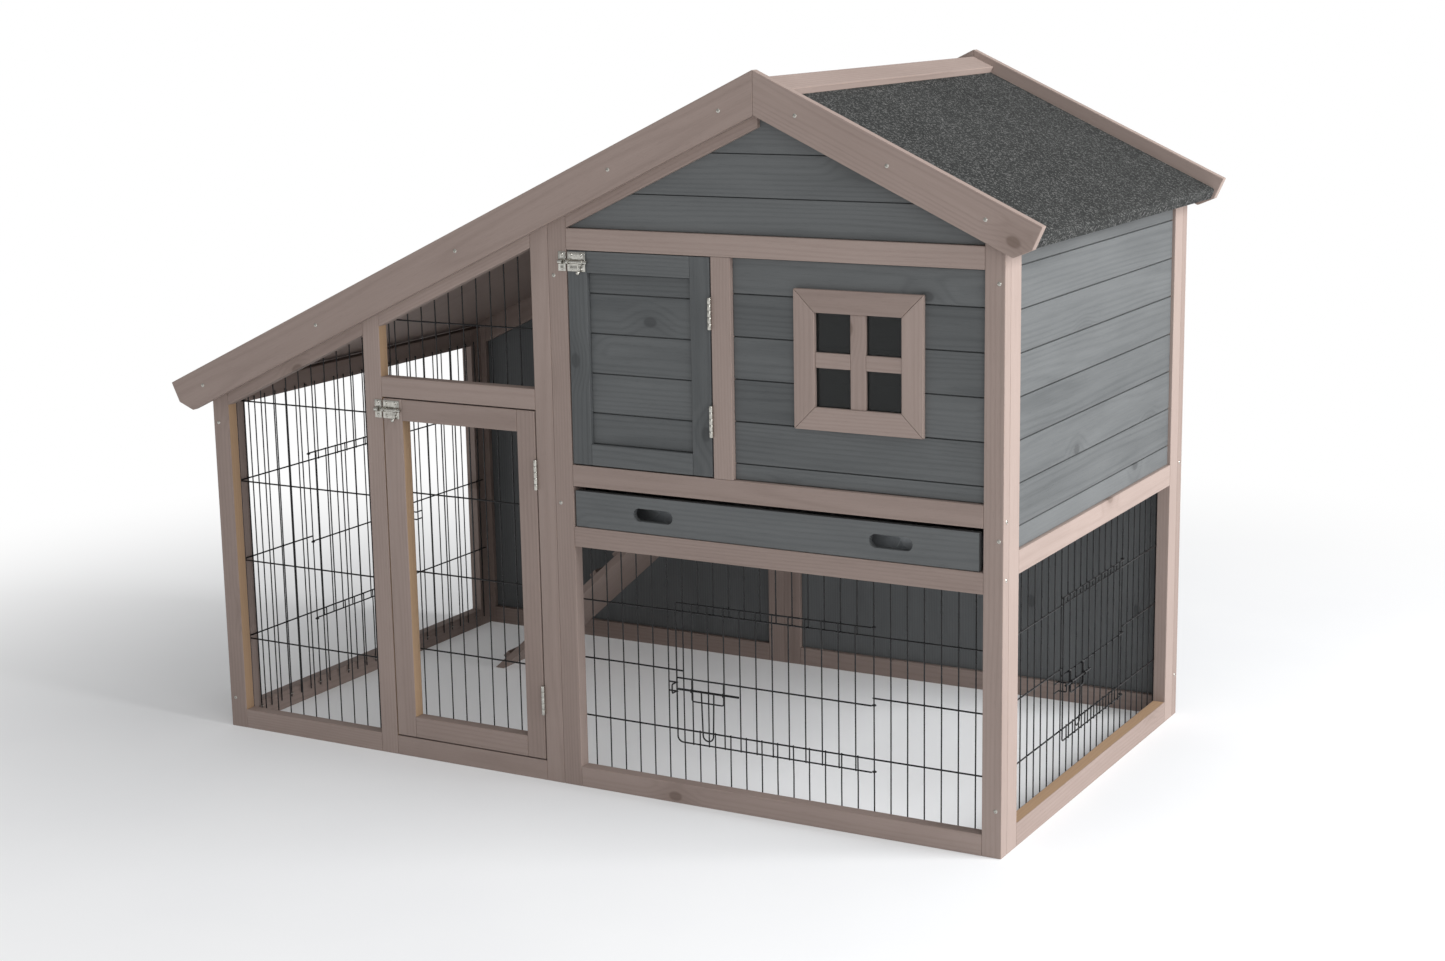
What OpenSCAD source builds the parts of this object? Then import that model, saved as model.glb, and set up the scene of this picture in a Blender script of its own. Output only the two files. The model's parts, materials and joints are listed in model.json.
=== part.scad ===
// Two-storey rabbit hutch: a wire-fronted run on the left, a boarded house on the right, and one
// ridged roof over both. Millimetres, +Z up, front towards -Y, origin on the ground under the middle.

/* [Overall] */
// Width of the standing frames, left corner to right corner
frame_w = 1400; // [1300:5:1600]
// Depth of the standing frames, front face to back face
frame_d = 760; // [700:5:900]
// Width of the run module on the left
run_w = 668; // [640:1:700]
// Height of the ridge, to the top edge of the fascia boards
ridge_h = 1100; // [1090:1:1200]
// Distance of the ridge from the left corner
ridge_x = 1025; // [1010:1:1040]
// Pitch of both roof slopes, in degrees
roof_pitch = 25.1; // [24.5:0.1:25.5]

/* [Timbers] */
// Thickness of every frame, front face to back face
frame_t = 21; // [18:1:24]
// Width of the stiles and rails on their broad face
timber_w = 32; // [28:1:36]
// Width of the front right corner stile
corner_w = 30; // [26:1:34]
// Left edge of the stile between the run panel and the run door
mid_stile_x = 315; // [305:1:325]
// Left edge of the stile between the hatch and the window
muntin_x = 945; // [930:1:960]
// Width of the stiles of the right side frame
side_stile_w = 36; // [32:1:40]

/* [Levels] */
// Top of the wire panels under the house
low_open_top = 383; // [370:1:390]
// Bottom of the drawer slot
tray_open_bottom = 414; // [410:1:420]
// Top of the drawer slot
tray_open_top = 477; // [472:1:484]
// Bottom of the hatch and window opening
house_open_bottom = 510; // [505:1:515]
// Top of the hatch and window opening
house_open_top = 835; // [825:1:840]
// Bottom of the rail over the run door
door_head_z = 589; // [580:1:595]

/* [Boards] */
// Thickness of the tongued siding boards
siding_t = 10; // [8:1:12]
// How far the siding stands back from the frame's face
siding_recess = 8; // [6:1:9]
// Height of one siding board
board_pitch = 62; // [55:0.5:70]
// Width of the shadow groove between boards
groove_w = 3; // [2:0.5:4]
// Depth of the shadow groove
groove_d = 3; // [2:0.5:4]
// Thickness of the plain back panels
panel_t = 6; // [4:1:8]

/* [Roof] */
// Thickness of the fascia boards
fascia_t = 14; // [12:1:16]
// Width of the fascia boards
fascia_w = 57; // [55:1:60]
// Roof overhang to the left of the frame, measured level
eave_left = 74; // [60:1:90]
// Roof overhang to the right of the frame, measured level
eave_right = 58; // [50:1:70]
// Depth of the felt's surface below the fascia's top edge
felt_drop = 21; // [19:1:22]
// Thickness of the mineral felt
felt_t = 3; // [2:0.5:4]
// Thickness of the roof boards under the felt
deck_t = 12; // [10:1:13]
// Width of each ridge cap board
cap_w = 40; // [36:1:48]
// Thickness of the ridge cap boards
cap_t = 11; // [9:1:12]

/* [Window] */
// Left edge of the window trim
trim_x = 1078; // [1060:1:1090]
// Bottom edge of the window trim
trim_z = 595; // [590:1:600]
// Outside size of the window trim
trim_size = 201; // [190:1:205]
// Width of the trim boards
trim_w = 33; // [28:1:36]

/* [Moving parts] */
// Gap round the door, the hatch and the drawer
fit_gap = 2; // [1.5:0.5:3]
// Width of the run door's own timbers
door_rail_w = 34; // [30:1:38]
// Width of the hatch's own timbers
hatch_rail_w = 33; // [28:1:36]
// Height of the drawer front
drawer_front_h = 55; // [50:1:57]
// Depth of the drawer tray behind its front
tray_depth = 690; // [600:5:700]
// Height of the tray wall
tray_wall_h = 42; // [35:1:46]
// Angle of the ramp to the ground, in degrees
ramp_angle = 42; // [38:1:44]
// Width of the ramp board
ramp_w = 228; // [180:1:235]
// Thickness of the ramp board
ramp_t = 12; // [10:1:15]
// Number of cleats across the ramp
cleat_count = 9; // [6:1:11]

/* [Wire] */
// Radius of the level wires
row_r = 1.25; // [1:0.05:1.5]
// Radius of the upright wires
col_r = 1.05; // [0.8:0.05:1.2]
// Distance between upright wires
wire_pitch = 26.5; // [25:0.1:28]

/* [Hidden] */

STAIN = [0.50, 0.44, 0.40];
SLATE = [0.29, 0.32, 0.33];
FELT = [0.22, 0.23, 0.24];
BLACK = [0.07, 0.07, 0.08];
ZINC = [0.75, 0.74, 0.70];
CLEAR = [0.75, 0.82, 0.85, 0.4];

wire_sides = 6;
round_sides = 32;

// Hairline left at every butt joint between two timbers.
seam = 0.1;
// Clearance between the felt and the boards that it lies on
deck_gap = 0.05;

// The fixed structure's main lines.
back_y = frame_d - frame_t;
side_x = frame_w - frame_t;
house_x0 = run_w + timber_w;
house_x1 = frame_w - corner_w;
run_x1 = run_w - timber_w;
rail_d1 = felt_drop + felt_t + deck_t;
rail_d2 = 74.6;
house_rail_d2 = 72.8;
hidden_rail_d2 = 56;
fascia_cut = 35;
fascia_chamfer = 20;
roof_y1 = frame_d + 1;
side_rail_z0 = 403;
side_rail_z1 = 437;
side_bottom_h = 35;
side_board_x = frame_w - 5;

// The middle of the whole object stands on the origin.
mid_x = (frame_w + eave_right - eave_left) / 2;
mid_y = roof_y1 / 2;

// Height of a line that runs parallel to the slopes, d below the fascia's top edge.
function slope_z(x, d) = ridge_h - tan(roof_pitch) * abs(ridge_x - x) - d / cos(roof_pitch);

// A point on a slope: dir is -1 for the left slope and 1 for the right, s runs down the slope.
function slope_pt(dir, s, d) = [
    ridge_x + dir * (s * cos(roof_pitch) - d * sin(roof_pitch)),
    ridge_h - s * sin(roof_pitch) - d * cos(roof_pitch)];

slope_left = (ridge_x + eave_left) / cos(roof_pitch);
slope_right = (frame_w - ridge_x + eave_right) / cos(roof_pitch);
function slope_len(dir) = dir < 0 ? slope_left : slope_right;

// Wire panels sit against the back of the frames.
row_y = frame_t + row_r + 0.05;
col_y = row_y + row_r + col_r - 0.6;

// Front wire panel under the house.
front_cols = 25;
front_col_x = house_x0 + 14;
front_rows = [110.5, 203, 295.5];
front_gate = [front_col_x + 6 * wire_pitch, front_col_x + 18 * wire_pitch, front_rows[0], front_rows[2]];

// Wire panel in the right side, with its distance measured along the depth.
side_cols = 26;
side_col_x = 46.5;
side_rows = [105, 201.5, 300];
side_gate = [side_col_x + 9 * wire_pitch, side_col_x + 19 * wire_pitch, side_rows[0], side_rows[2]];

// Wire panel in the left end, measured from the back.
end_cols = 26;
end_col_x = 48.5;
end_rows = [152, 286, 420];
end_gate = [end_col_x + 8 * wire_pitch, end_col_x + 19 * wire_pitch, end_rows[0], end_rows[2]];

run_rows = [151, 286, 421.5, 557];
run_col_x = 28.5;
run_cols = 11;
door_x0 = mid_stile_x + timber_w + fit_gap;
door_x1 = run_x1 - fit_gap;
door_z0 = timber_w + fit_gap;
door_z1 = door_head_z - fit_gap;
door_rows = [177, 305, 433.5];
door_cols = 8;
window_row_z = 709;
window_cols = 11;

hatch_x0 = house_x0 + fit_gap;
hatch_x1 = muntin_x - fit_gap;
hatch_z0 = house_open_bottom + fit_gap;
hatch_z1 = house_open_top - 1;
hatch_t = 18;

drawer_x0 = house_x0 + 3;
drawer_x1 = house_x1 - 7;
drawer_y0 = 2;
drawer_t = 11;
drawer_z0 = tray_open_bottom + 1;
slot_l = 68;
slot_h = 20;
slot_in = 135;
tray_gap = 24;
tray_t = 2;
tray_x0 = house_x0 + 5;
tray_x1 = house_x1 - 9;
runner_top = tray_open_bottom + 3.5;
tray_z0 = runner_top + 0.5;

doorway_y0 = 486;
doorway_y1 = back_y - timber_w;
doorway_top = 690;
partition_top = slope_z(run_w, rail_d1) - 4;

// The ramp hangs from the partition's bottom rail.
ramp_y0 = doorway_y0 - 6;
ramp_hinge_x = run_w - 5;
ramp_hinge_z = tray_open_bottom - 2.5;
ramp_ground_gap = 0.3;
ramp_leaf_gap = 1.05;
cleat_h = 8;
cleat_l = 15;
cleat_first = 60;

// Barrel bolts.
bolt_plate = [31, 29];
keeper_plate = [13, 29];
plate_t = 1.2;
bolt_r = 2.5;
bolt_y = -5.2;
door_bolt_z = 570;
hatch_bolt_z = 818;

// Butt hinges.
hinge_l = 47;
knuckle_r = 3;
pin_r = 1.4;
pin_play = 0.05;
leaf_t = 0.95;
hinge_y = -3.3;
door_hinge_x = (door_x1 + run_x1) / 2;
hatch_hinge_x = (hatch_x1 + muntin_x) / 2;
door_hinge_zs = [131, 489];
hatch_hinge_zs = [595, 753];

// Wire doors: [free edge, hinge wire, bottom, middle, top, latch height].
front_gate_door = [front_gate[0] - 9, front_gate[1], 91, 192, 309, 176];
side_gate_door = [side_gate[0] - 5, side_gate[1], 88, 192, 312, 176];
end_gate_door = [end_gate[0] - 5, end_gate[1], 138, 276, 432, 260];
gate_col_y = 18.4;
gate_row_y = 20.1;
latch_y = 15.2;
latch_r = 1.6;
latch_l = 104;
handle_drop = 76;

screw_r = 3.6;
screw_h = 1.2;
shank_r = 1.5;
shank_l = 10;

// ---- helpers -------------------------------------------------------------------------------

// Moves the layout, drawn from the front left corner, onto the part's origin.
module on_origin() {
    translate([-mid_x, -mid_y, 0]) children();
}

// A box from its low corner to its high corner.
module timber(x0, x1, y0, y1, z0, z1) {
    translate([x0, y0, z0]) cube([x1 - x0, y1 - y0, z1 - z0]);
}

// Stands a drawing of X and Z up, t thick from y0 backwards.
module upright(y0, t) {
    translate([0, y0 + t, 0]) rotate([90, 0, 0]) linear_extrude(t) children();
}

// Carries front-wall coordinates round to the right side wall.
module on_side() {
    translate([frame_w, 0, 0]) rotate([0, 0, 90]) children();
}

// Carries front-wall coordinates round to the left end wall.
module on_end() {
    translate([0, frame_d, 0]) rotate([0, 0, -90]) children();
}

// A level rail between two stiles, a hairline short at both ends.
module rail(x0, x1, y0, z0, z1) {
    timber(x0 + seam, x1 - seam, y0, y0 + frame_t, z0, z1);
}

// The same in the end and side walls, running from front to back.
module cross_rail(x0, y0, y1, z0, z1) {
    timber(x0, x0 + frame_t, y0 + seam, y1 - seam, z0, z1);
}

// A stile whose top is cut to the roof slope.
module roof_stile(x0, x1, y0, z0 = 0) {
    upright(y0, frame_t) polygon([
        [x0, z0], [x1, z0], [x1, slope_z(x1, rail_d1)], [x0, slope_z(x0, rail_d1)]]);
}

// A rail that follows the roof slope between two stiles.
module slope_rail(x0, x1, y0, d2) {
    a = x0 + seam;
    b = x1 - seam;
    upright(y0, frame_t) polygon([
        [a, slope_z(a, d2)], [b, slope_z(b, d2)],
        [b, slope_z(b, rail_d1)], [a, slope_z(a, rail_d1)]]);
}

// Cuts the shadow grooves between boards into the front of a standing panel.
module grooved(x0, x1, y0, first_z, top_z, pitch) {
    difference() {
        children();
        for (z = [first_z : pitch : top_z])
            timber(x0 - 1, x1 + 1, y0 - 1, y0 + groove_d, z - groove_w / 2, z + groove_w / 2);
    }
}

module wire_up(x, y, z0, z1, r = col_r) {
    translate([x, y, z0]) cylinder(h = z1 - z0, r = r, $fn = wire_sides);
}

module wire_level(x0, x1, y, z, r = row_r) {
    translate([x0, y, z]) rotate([0, 90, 0]) cylinder(h = x1 - x0, r = r, $fn = wire_sides);
}

module wire_out(x, y0, y1, z, r = col_r) {
    translate([x, y0, z]) rotate([-90, 0, 0]) cylinder(h = y1 - y0, r = r, $fn = wire_sides);
}

// A straight-topped wire panel with a gateway: gate is [left, right, bottom, top].
module gated_mesh(first_x, cols, rows, x0, x1, z0, z1, gate) {
    for (i = [0 : cols - 1]) {
        x = first_x + i * wire_pitch;
        if (x > gate[0] + 1 && x < gate[1] - 1) {
            wire_up(x, col_y, z0, gate[2] + row_r);
            wire_up(x, col_y, gate[3] - row_r, z1);
        } else {
            wire_up(x, col_y, z0, z1);
        }
    }
    for (z = rows) {
        if (z > gate[2] + 1 && z < gate[3] - 1) {
            wire_level(x0, gate[0] + col_r, row_y, z);
            wire_level(gate[1] - col_r, x1, row_y, z);
        } else {
            wire_level(x0, x1, row_y, z);
        }
    }
}

// The hairpin on the panel that the latch rod slides behind.
module wire_keeper(gate, door) {
    x = door[0] - 4;
    z = door[5];
    for (level = [z + 7, z - 7])
        wire_out(x, latch_y - 4.6, col_y + 0.5, level);
    wire_up(x, latch_y - 4.6, z - 7 - col_r, z + 7 + col_r);
    for (level = [z + 7, z - 7])
        wire_level(gate[0] - wire_pitch, gate[0] + 3, col_y, level, col_r);
}

// A crate-style wire door, hung on one of the panel's upright wires.
module wire_door(door) {
    x0 = door[0];
    x1 = door[1];
    cols = floor((x1 - x0 - 12) / wire_pitch);
    for (i = [0 : cols])
        wire_up(x0 + i * wire_pitch, gate_col_y, door[2] - col_r, door[4] + col_r);
    for (z = [door[2], door[3], door[4]]) {
        wire_level(x0 - col_r, x1 + 0.5, gate_row_y, z);
        translate([x1, col_y, z]) rotate_extrude($fn = round_sides)
            translate([col_r + 0.35 + col_r, 0]) circle(r = col_r, $fn = 16);
    }
    for (i = [1, 3])
        translate([x0 + i * wire_pitch, latch_y, door[5]]) rotate([0, 90, 0])
            rotate_extrude($fn = round_sides)
                translate([latch_r + 0.35 + 0.9, 0]) circle(r = 0.9, $fn = 16);
    wire_level(x0 + wire_pitch, x0 + 3 * wire_pitch, gate_row_y - 0.4, door[5] - 15, 0.9);
}

// The sliding rod of a wire door with its hanging hairpin handle.
module wire_latch(door) {
    x0 = door[0] + 4;
    z = door[5];
    leg0 = x0 + 40;
    leg1 = x0 + 64;
    bend_r = (leg1 - leg0) / 2;
    translate([x0, latch_y, z]) rotate([0, 90, 0])
        cylinder(h = latch_l, r = latch_r, $fn = round_sides);
    for (x = [leg0, leg1])
        wire_up(x, latch_y, z - handle_drop + bend_r, z, 1.1);
    translate([leg0 + bend_r, latch_y, z - handle_drop + bend_r]) rotate([90, 0, 0])
        intersection() {
            rotate_extrude($fn = round_sides)
                translate([bend_r, 0]) circle(r = 1.1, $fn = 16);
            translate([-leg1, -leg1, -3]) cube([2 * leg1, leg1, 6]);
        }
}

// One butt hinge's fixed half with its pin, standing on the axis; side is 1 or -1 for its leaf.
module hinge_fixed(side, leaf_depth) {
    part = hinge_l / 5;
    for (i = [0, 2, 4])
        translate([0, 0, -hinge_l / 2 + i * part + 0.15])
            cylinder(h = part - 0.3, r = knuckle_r, $fn = round_sides);
    translate([0, 0, -hinge_l / 2 + 0.15]) cylinder(h = hinge_l - 0.3, r = pin_r, $fn = round_sides);
    for (i = [0, 2, 4])
        leaf(side, leaf_depth, -hinge_l / 2 + i * part + 0.15, part - 0.3);
    leaf_plate(side, leaf_depth);
}

// The other half, bored for the pin.
module hinge_moving(side, leaf_depth) {
    part = hinge_l / 5;
    difference() {
        union() {
            for (i = [1, 3]) {
                translate([0, 0, -hinge_l / 2 + i * part + 0.15])
                    cylinder(h = part - 0.3, r = knuckle_r, $fn = round_sides);
                leaf(side, leaf_depth, -hinge_l / 2 + i * part + 0.15, part - 0.3);
            }
            leaf_plate(side, leaf_depth);
        }
        translate([0, 0, -hinge_l / 2 - 1])
            cylinder(h = hinge_l + 2, r = pin_r + pin_play, $fn = round_sides);
    }
}

// The tab from a knuckle to its leaf.
module leaf(side, leaf_depth, z, h) {
    x0 = side > 0 ? 0.05 : -0.05 - leaf_t;
    translate([x0, 1.6, z]) cube([leaf_t, leaf_depth - 1.6, h]);
}

// The leaf itself, clear of the other half's knuckles.
module leaf_plate(side, leaf_depth) {
    x0 = side > 0 ? 0.05 : -0.05 - leaf_t;
    translate([x0, knuckle_r + 0.3, -hinge_l / 2 + 0.15])
        cube([leaf_t, leaf_depth - knuckle_r - 0.3, hinge_l - 0.3]);
}

// A raised strap over the bolt rod, w wide along X.
module bolt_strap(x, z, w) {
    translate([x, bolt_y, z]) rotate([0, 90, 0]) difference() {
        union() {
            cylinder(h = w, r = bolt_r + 1.3, $fn = round_sides);
            translate([-bolt_r - 1.3, 0, 0]) cube([2 * (bolt_r + 1.3), -bolt_y - 0.6, w]);
        }
        translate([0, 0, -1]) cylinder(h = w + 2, r = bolt_r + 0.08, $fn = round_sides);
    }
}

// A screw head on the front of a board, with its shank going in.
module front_screw(x, z, y0 = 0) {
    translate([x, y0, z]) rotate([90, 0, 0]) {
        cylinder(h = screw_h, r1 = screw_r, r2 = screw_r * 0.72, $fn = round_sides);
        translate([0, 0, -shank_l]) cylinder(h = shank_l + 0.2, r = shank_r, $fn = round_sides);
    }
}

module bolt_plate_at(x, z) {
    timber(x, x + bolt_plate[0], -plate_t, 0, z - bolt_plate[1] / 2, z + bolt_plate[1] / 2);
    bolt_strap(x + 1, z, 4);
    bolt_strap(x + 24, z, 6);
    for (dx = [7, 24], dz = [-10.5, 10.5])
        translate([x + dx, -plate_t + 0.2, z + dz]) rotate([90, 0, 0])
            cylinder(h = 1.4, r1 = 2.6, r2 = 1.8, $fn = round_sides);
}

module keeper_at(x, z) {
    timber(x, x + keeper_plate[0], -plate_t, 0, z - keeper_plate[1] / 2, z + keeper_plate[1] / 2);
    bolt_strap(x + 3, z, 7);
    for (dz = [-10.5, 10.5])
        translate([x + keeper_plate[0] / 2, -plate_t + 0.2, z + dz]) rotate([90, 0, 0])
            cylinder(h = 1.4, r1 = 2.6, r2 = 1.8, $fn = round_sides);
}

// The sliding rod and its hanging knob, drawn back by its travel.
module bolt_at(x, z) {
    translate([x + 1.5, bolt_y, z]) rotate([0, 90, 0])
        cylinder(h = bolt_plate[0] + 4, r = bolt_r, $fn = round_sides);
    translate([x + 21.5, bolt_y - 1.1, z - 14]) cylinder(h = 13, r = 1.2, $fn = round_sides);
    translate([x + 21.5, bolt_y - 1.1, z - 16]) sphere(r = 3.2, $fn = round_sides);
}

// ---- the run -------------------------------------------------------------------------------

module run_front_frame() {
    color(STAIN) on_origin() {
        roof_stile(0, timber_w, 0);
        roof_stile(mid_stile_x, mid_stile_x + timber_w, 0);
        roof_stile(run_x1, run_w, 0);
        rail(timber_w, mid_stile_x, 0, 0, timber_w);
        rail(mid_stile_x + timber_w, run_x1, 0, 0, timber_w);
        rail(mid_stile_x + timber_w, run_x1, 0, door_head_z, door_head_z + timber_w);
        slope_rail(timber_w, mid_stile_x, 0, rail_d2);
        slope_rail(mid_stile_x + timber_w, run_x1, 0, rail_d2);
    }
}

module run_front_mesh() {
    color(BLACK) on_origin() {
        for (i = [0 : run_cols - 1]) {
            x = run_col_x + i * (wire_pitch + 0.2);
            wire_up(x, col_y, 18, slope_z(x, rail_d2) + 10);
        }
        for (z = run_rows) {
            x0 = max(22.5, ridge_x - (ridge_h - z - (rail_d2 - 8) / cos(roof_pitch)) / tan(roof_pitch));
            wire_level(x0, mid_stile_x + 8, row_y, z);
        }
    }
}

module run_window_mesh() {
    x0 = mid_stile_x + timber_w + 2;
    x1 = run_x1 - 2;
    color(BLACK) on_origin() {
        for (i = [0 : window_cols - 1]) {
            x = x0 + 11.5 + i * (wire_pitch - 0.2);
            wire_up(x, col_y, door_head_z + 18, slope_z(x, rail_d2) + 8);
        }
        wire_up(x0, col_y, door_head_z + 18, slope_z(x0, rail_d2) + 8);
        wire_up(x1, col_y, door_head_z + 18, slope_z(x1, rail_d2) + 8);
        wire_level(x0 - 6, x1 + 6, row_y, window_row_z);
        wire_level(x0 - 6, x1 + 6, row_y, door_head_z + 22);
        hull() {
            for (x = [x0, x1])
                translate([x, row_y, slope_z(x, rail_d2) + 3]) rotate([0, 90, 0])
                    cylinder(h = 0.5, r = row_r, $fn = wire_sides);
        }
    }
}

module run_end_frame() {
    top = slope_z(0, rail_d1) - 0.5;
    color(STAIN) on_origin() {
        timber(0, frame_t, frame_t, frame_t + timber_w, 0, top);
        timber(0, frame_t, back_y - timber_w, back_y, 0, top);
        cross_rail(0, frame_t + timber_w, back_y - timber_w, 0, timber_w);
        cross_rail(0, frame_t + timber_w, back_y - timber_w, top - timber_w, top);
    }
}

module run_end_mesh() {
    color(BLACK) on_origin() on_end() {
        gated_mesh(end_col_x, end_cols, end_rows, frame_t + 12, back_y - 12, 18, 556, end_gate);
        wire_keeper(end_gate, end_gate_door);
    }
}

module run_rear_frame() {
    color(STAIN) on_origin() {
        roof_stile(0, timber_w, back_y);
        roof_stile(run_x1, run_w, back_y);
        rail(timber_w, run_x1, back_y, 0, timber_w);
        slope_rail(timber_w, run_x1, back_y, rail_d2);
    }
}

module run_rear_panel() {
    color(SLATE) on_origin() upright(back_y + siding_recess, panel_t) polygon([
        [timber_w, timber_w], [run_x1, timber_w],
        [run_x1, slope_z(run_x1, rail_d2)], [timber_w, slope_z(timber_w, rail_d2)]]);
}

// ---- the house -----------------------------------------------------------------------------

module house_front_frame() {
    color(STAIN) on_origin() {
        roof_stile(run_w + seam, house_x0, 0);
        roof_stile(house_x1, frame_w, 0);
        rail(house_x0, house_x1, 0, 0, timber_w);
        rail(house_x0, house_x1, 0, low_open_top, tray_open_bottom);
        rail(house_x0, house_x1, 0, tray_open_top, house_open_bottom);
        timber(muntin_x, muntin_x + timber_w, 0, frame_t, house_open_bottom + seam, house_open_top - seam);
        rail(house_x0, house_x1, 0, house_open_top, house_open_top + timber_w);
        slope_rail(house_x0, ridge_x, 0, house_rail_d2);
        slope_rail(ridge_x, house_x1, 0, hidden_rail_d2);
    }
}

module house_front_siding() {
    x0 = muntin_x + timber_w;
    z0 = trim_z + trim_w - 4;
    hole = trim_size - 2 * trim_w + 8;
    color(SLATE) on_origin() difference() {
        grooved(x0, house_x1, siding_recess, house_open_bottom + 24.5, house_open_top - 8, board_pitch)
            timber(x0, house_x1, siding_recess, siding_recess + siding_t,
                house_open_bottom, house_open_top);
        translate([trim_x + trim_w - 4, 0, z0]) cube([hole, frame_t, hole]);
    }
}

// The boarded triangle under the ridge, inside the slope rails.
module gable_outline() {
    z0 = house_open_top + timber_w;
    polygon([
        [house_x0, z0], [house_x1, z0], [house_x1, max(z0, slope_z(house_x1, hidden_rail_d2))],
        [ridge_x, slope_z(ridge_x, hidden_rail_d2)], [ridge_x, slope_z(ridge_x, house_rail_d2)],
        [house_x0, max(z0, slope_z(house_x0, house_rail_d2))]]);
}

module gable_front_siding() {
    z0 = house_open_top + timber_w;
    color(SLATE) on_origin() intersection() {
        grooved(house_x0, house_x1, siding_recess, house_open_top + 85, ridge_h - 100, board_pitch)
            timber(house_x0, house_x1, siding_recess, siding_recess + siding_t, z0, ridge_h);
        upright(0, frame_t) gable_outline();
    }
}

// Four trim boards, mitred at the corners.
module window_trim() {
    s = trim_size;
    color(STAIN) on_origin() translate([trim_x, 0, trim_z]) for (turn = [0 : 3])
        translate([s / 2, 0, s / 2]) rotate([0, 90 * turn, 0]) translate([-s / 2, 0, -s / 2])
            upright(0, siding_recess) polygon([
                [0.15, 0], [s - 0.15, 0], [s - trim_w - 0.15, trim_w], [trim_w + 0.15, trim_w]]);
}

module window_muntins() {
    inner = trim_size - 2 * trim_w;
    color(STAIN) on_origin() translate([trim_x + trim_w, 2, trim_z + trim_w]) {
        translate([inner / 2 - 12, 0, 0]) cube([24, 6, inner]);
        translate([0, 0.5, inner / 2 - 11]) cube([inner, 5.5, 22]);
    }
}

module window_pane() {
    size = trim_size - 2 * trim_w + 7;
    color(CLEAR) on_origin() translate([trim_x + trim_w - 3.5, siding_recess, trim_z + trim_w - 3.5])
        cube([size, 2, size]);
}

module house_front_mesh() {
    color(BLACK) on_origin() {
        gated_mesh(front_col_x, front_cols, front_rows, run_w + 16, side_x - 1.5, 18,
            low_open_top + 13, front_gate);
        wire_keeper(front_gate, front_gate_door);
    }
}

module house_side_frame() {
    y0 = frame_t + side_stile_w;
    y1 = back_y - side_stile_w;
    top = slope_z(frame_w, rail_d1) - 0.5;
    color(STAIN) on_origin() {
        timber(side_x, frame_w, frame_t, y0, 0, top);
        timber(side_x, frame_w, y1, back_y, 0, top);
        cross_rail(side_x, y0, y1, 0, side_bottom_h);
        cross_rail(side_x, y0, y1, side_rail_z0, side_rail_z1);
        timber(side_x - 12, side_board_x - siding_t, y0 + seam, y1 - seam, top - timber_w, top);
    }
}

module house_side_siding() {
    y0 = frame_t + side_stile_w;
    y1 = back_y - side_stile_w;
    top = slope_z(frame_w, rail_d1) - 0.5;
    color(SLATE) on_origin() difference() {
        timber(side_board_x - siding_t, side_board_x, y0, y1, side_rail_z1, top);
        for (z = [side_rail_z1 + 32 : board_pitch - 1 : top - 10])
            timber(side_board_x - groove_d, frame_w, y0 - 1, y1 + 1, z - groove_w / 2, z + groove_w / 2);
    }
}

module house_side_mesh() {
    color(BLACK) on_origin() on_side() {
        gated_mesh(side_col_x, side_cols, side_rows, frame_t + 12, back_y - 12, 18,
            side_rail_z0 + 12, side_gate);
        wire_keeper(side_gate, side_gate_door);
    }
}

module house_rear_frame() {
    color(STAIN) on_origin() {
        roof_stile(run_w + seam, house_x0, back_y);
        roof_stile(house_x1, frame_w, back_y);
        rail(house_x0, house_x1, back_y, 0, timber_w);
        rail(house_x0, house_x1, back_y, low_open_top, tray_open_bottom);
        rail(house_x0, house_x1, back_y, house_open_top, house_open_top + timber_w);
        slope_rail(house_x0, ridge_x, back_y, house_rail_d2);
        slope_rail(ridge_x, house_x1, back_y, hidden_rail_d2);
    }
}

// Cutter for one shadow groove in the back boarding, centred on z.
module rear_groove(z) {
    y1 = frame_d - siding_recess;
    timber(house_x0 - 1, house_x1 + 1, y1 - groove_d, y1 + 1, z - groove_w / 2, z + groove_w / 2);
}

// The boarding of the back, with its grooves on the outside.
module house_rear_siding() {
    y1 = frame_d - siding_recess;
    color(SLATE) on_origin() {
        difference() {
            timber(house_x0, house_x1, y1 - siding_t, y1, tray_open_bottom, house_open_top);
            for (z = [tray_open_bottom + 48 : board_pitch : house_open_top - 10])
                rear_groove(z);
        }
        intersection() {
            difference() {
                timber(house_x0, house_x1, y1 - siding_t, y1, house_open_top + timber_w, ridge_h);
                for (z = [house_open_top + 85 : board_pitch : ridge_h - 100])
                    rear_groove(z);
            }
            upright(back_y, frame_t) gable_outline();
        }
    }
}

module house_rear_panel() {
    color(SLATE) on_origin() timber(house_x0, house_x1, back_y + siding_recess,
        back_y + siding_recess + panel_t, timber_w, low_open_top);
}

// The wall between run and house, open at the back for the doorway over the ramp.
module partition_frame() {
    x0 = run_w;
    x1 = run_w + frame_t;
    color(STAIN) on_origin() {
        z0 = tray_open_bottom + seam;
        timber(x0, x1, frame_t, back_y, low_open_top, tray_open_bottom);
        timber(x0, x1, frame_t, frame_t + timber_w, z0, partition_top);
        timber(x0, x1, doorway_y0 - timber_w, doorway_y0, z0, partition_top);
        timber(x0, x1, doorway_y1, back_y, z0, partition_top);
        cross_rail(x0, doorway_y0, doorway_y1, doorway_top, doorway_top + timber_w);
    }
}

module partition_siding() {
    x0 = run_w + 5;
    x1 = x0 + siding_t;
    color(SLATE) on_origin() {
        timber(x0, x1, frame_t + timber_w, doorway_y0 - timber_w, tray_open_bottom, partition_top);
        timber(x0, x1, doorway_y0, doorway_y1, doorway_top + timber_w, partition_top);
    }
}

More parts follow.
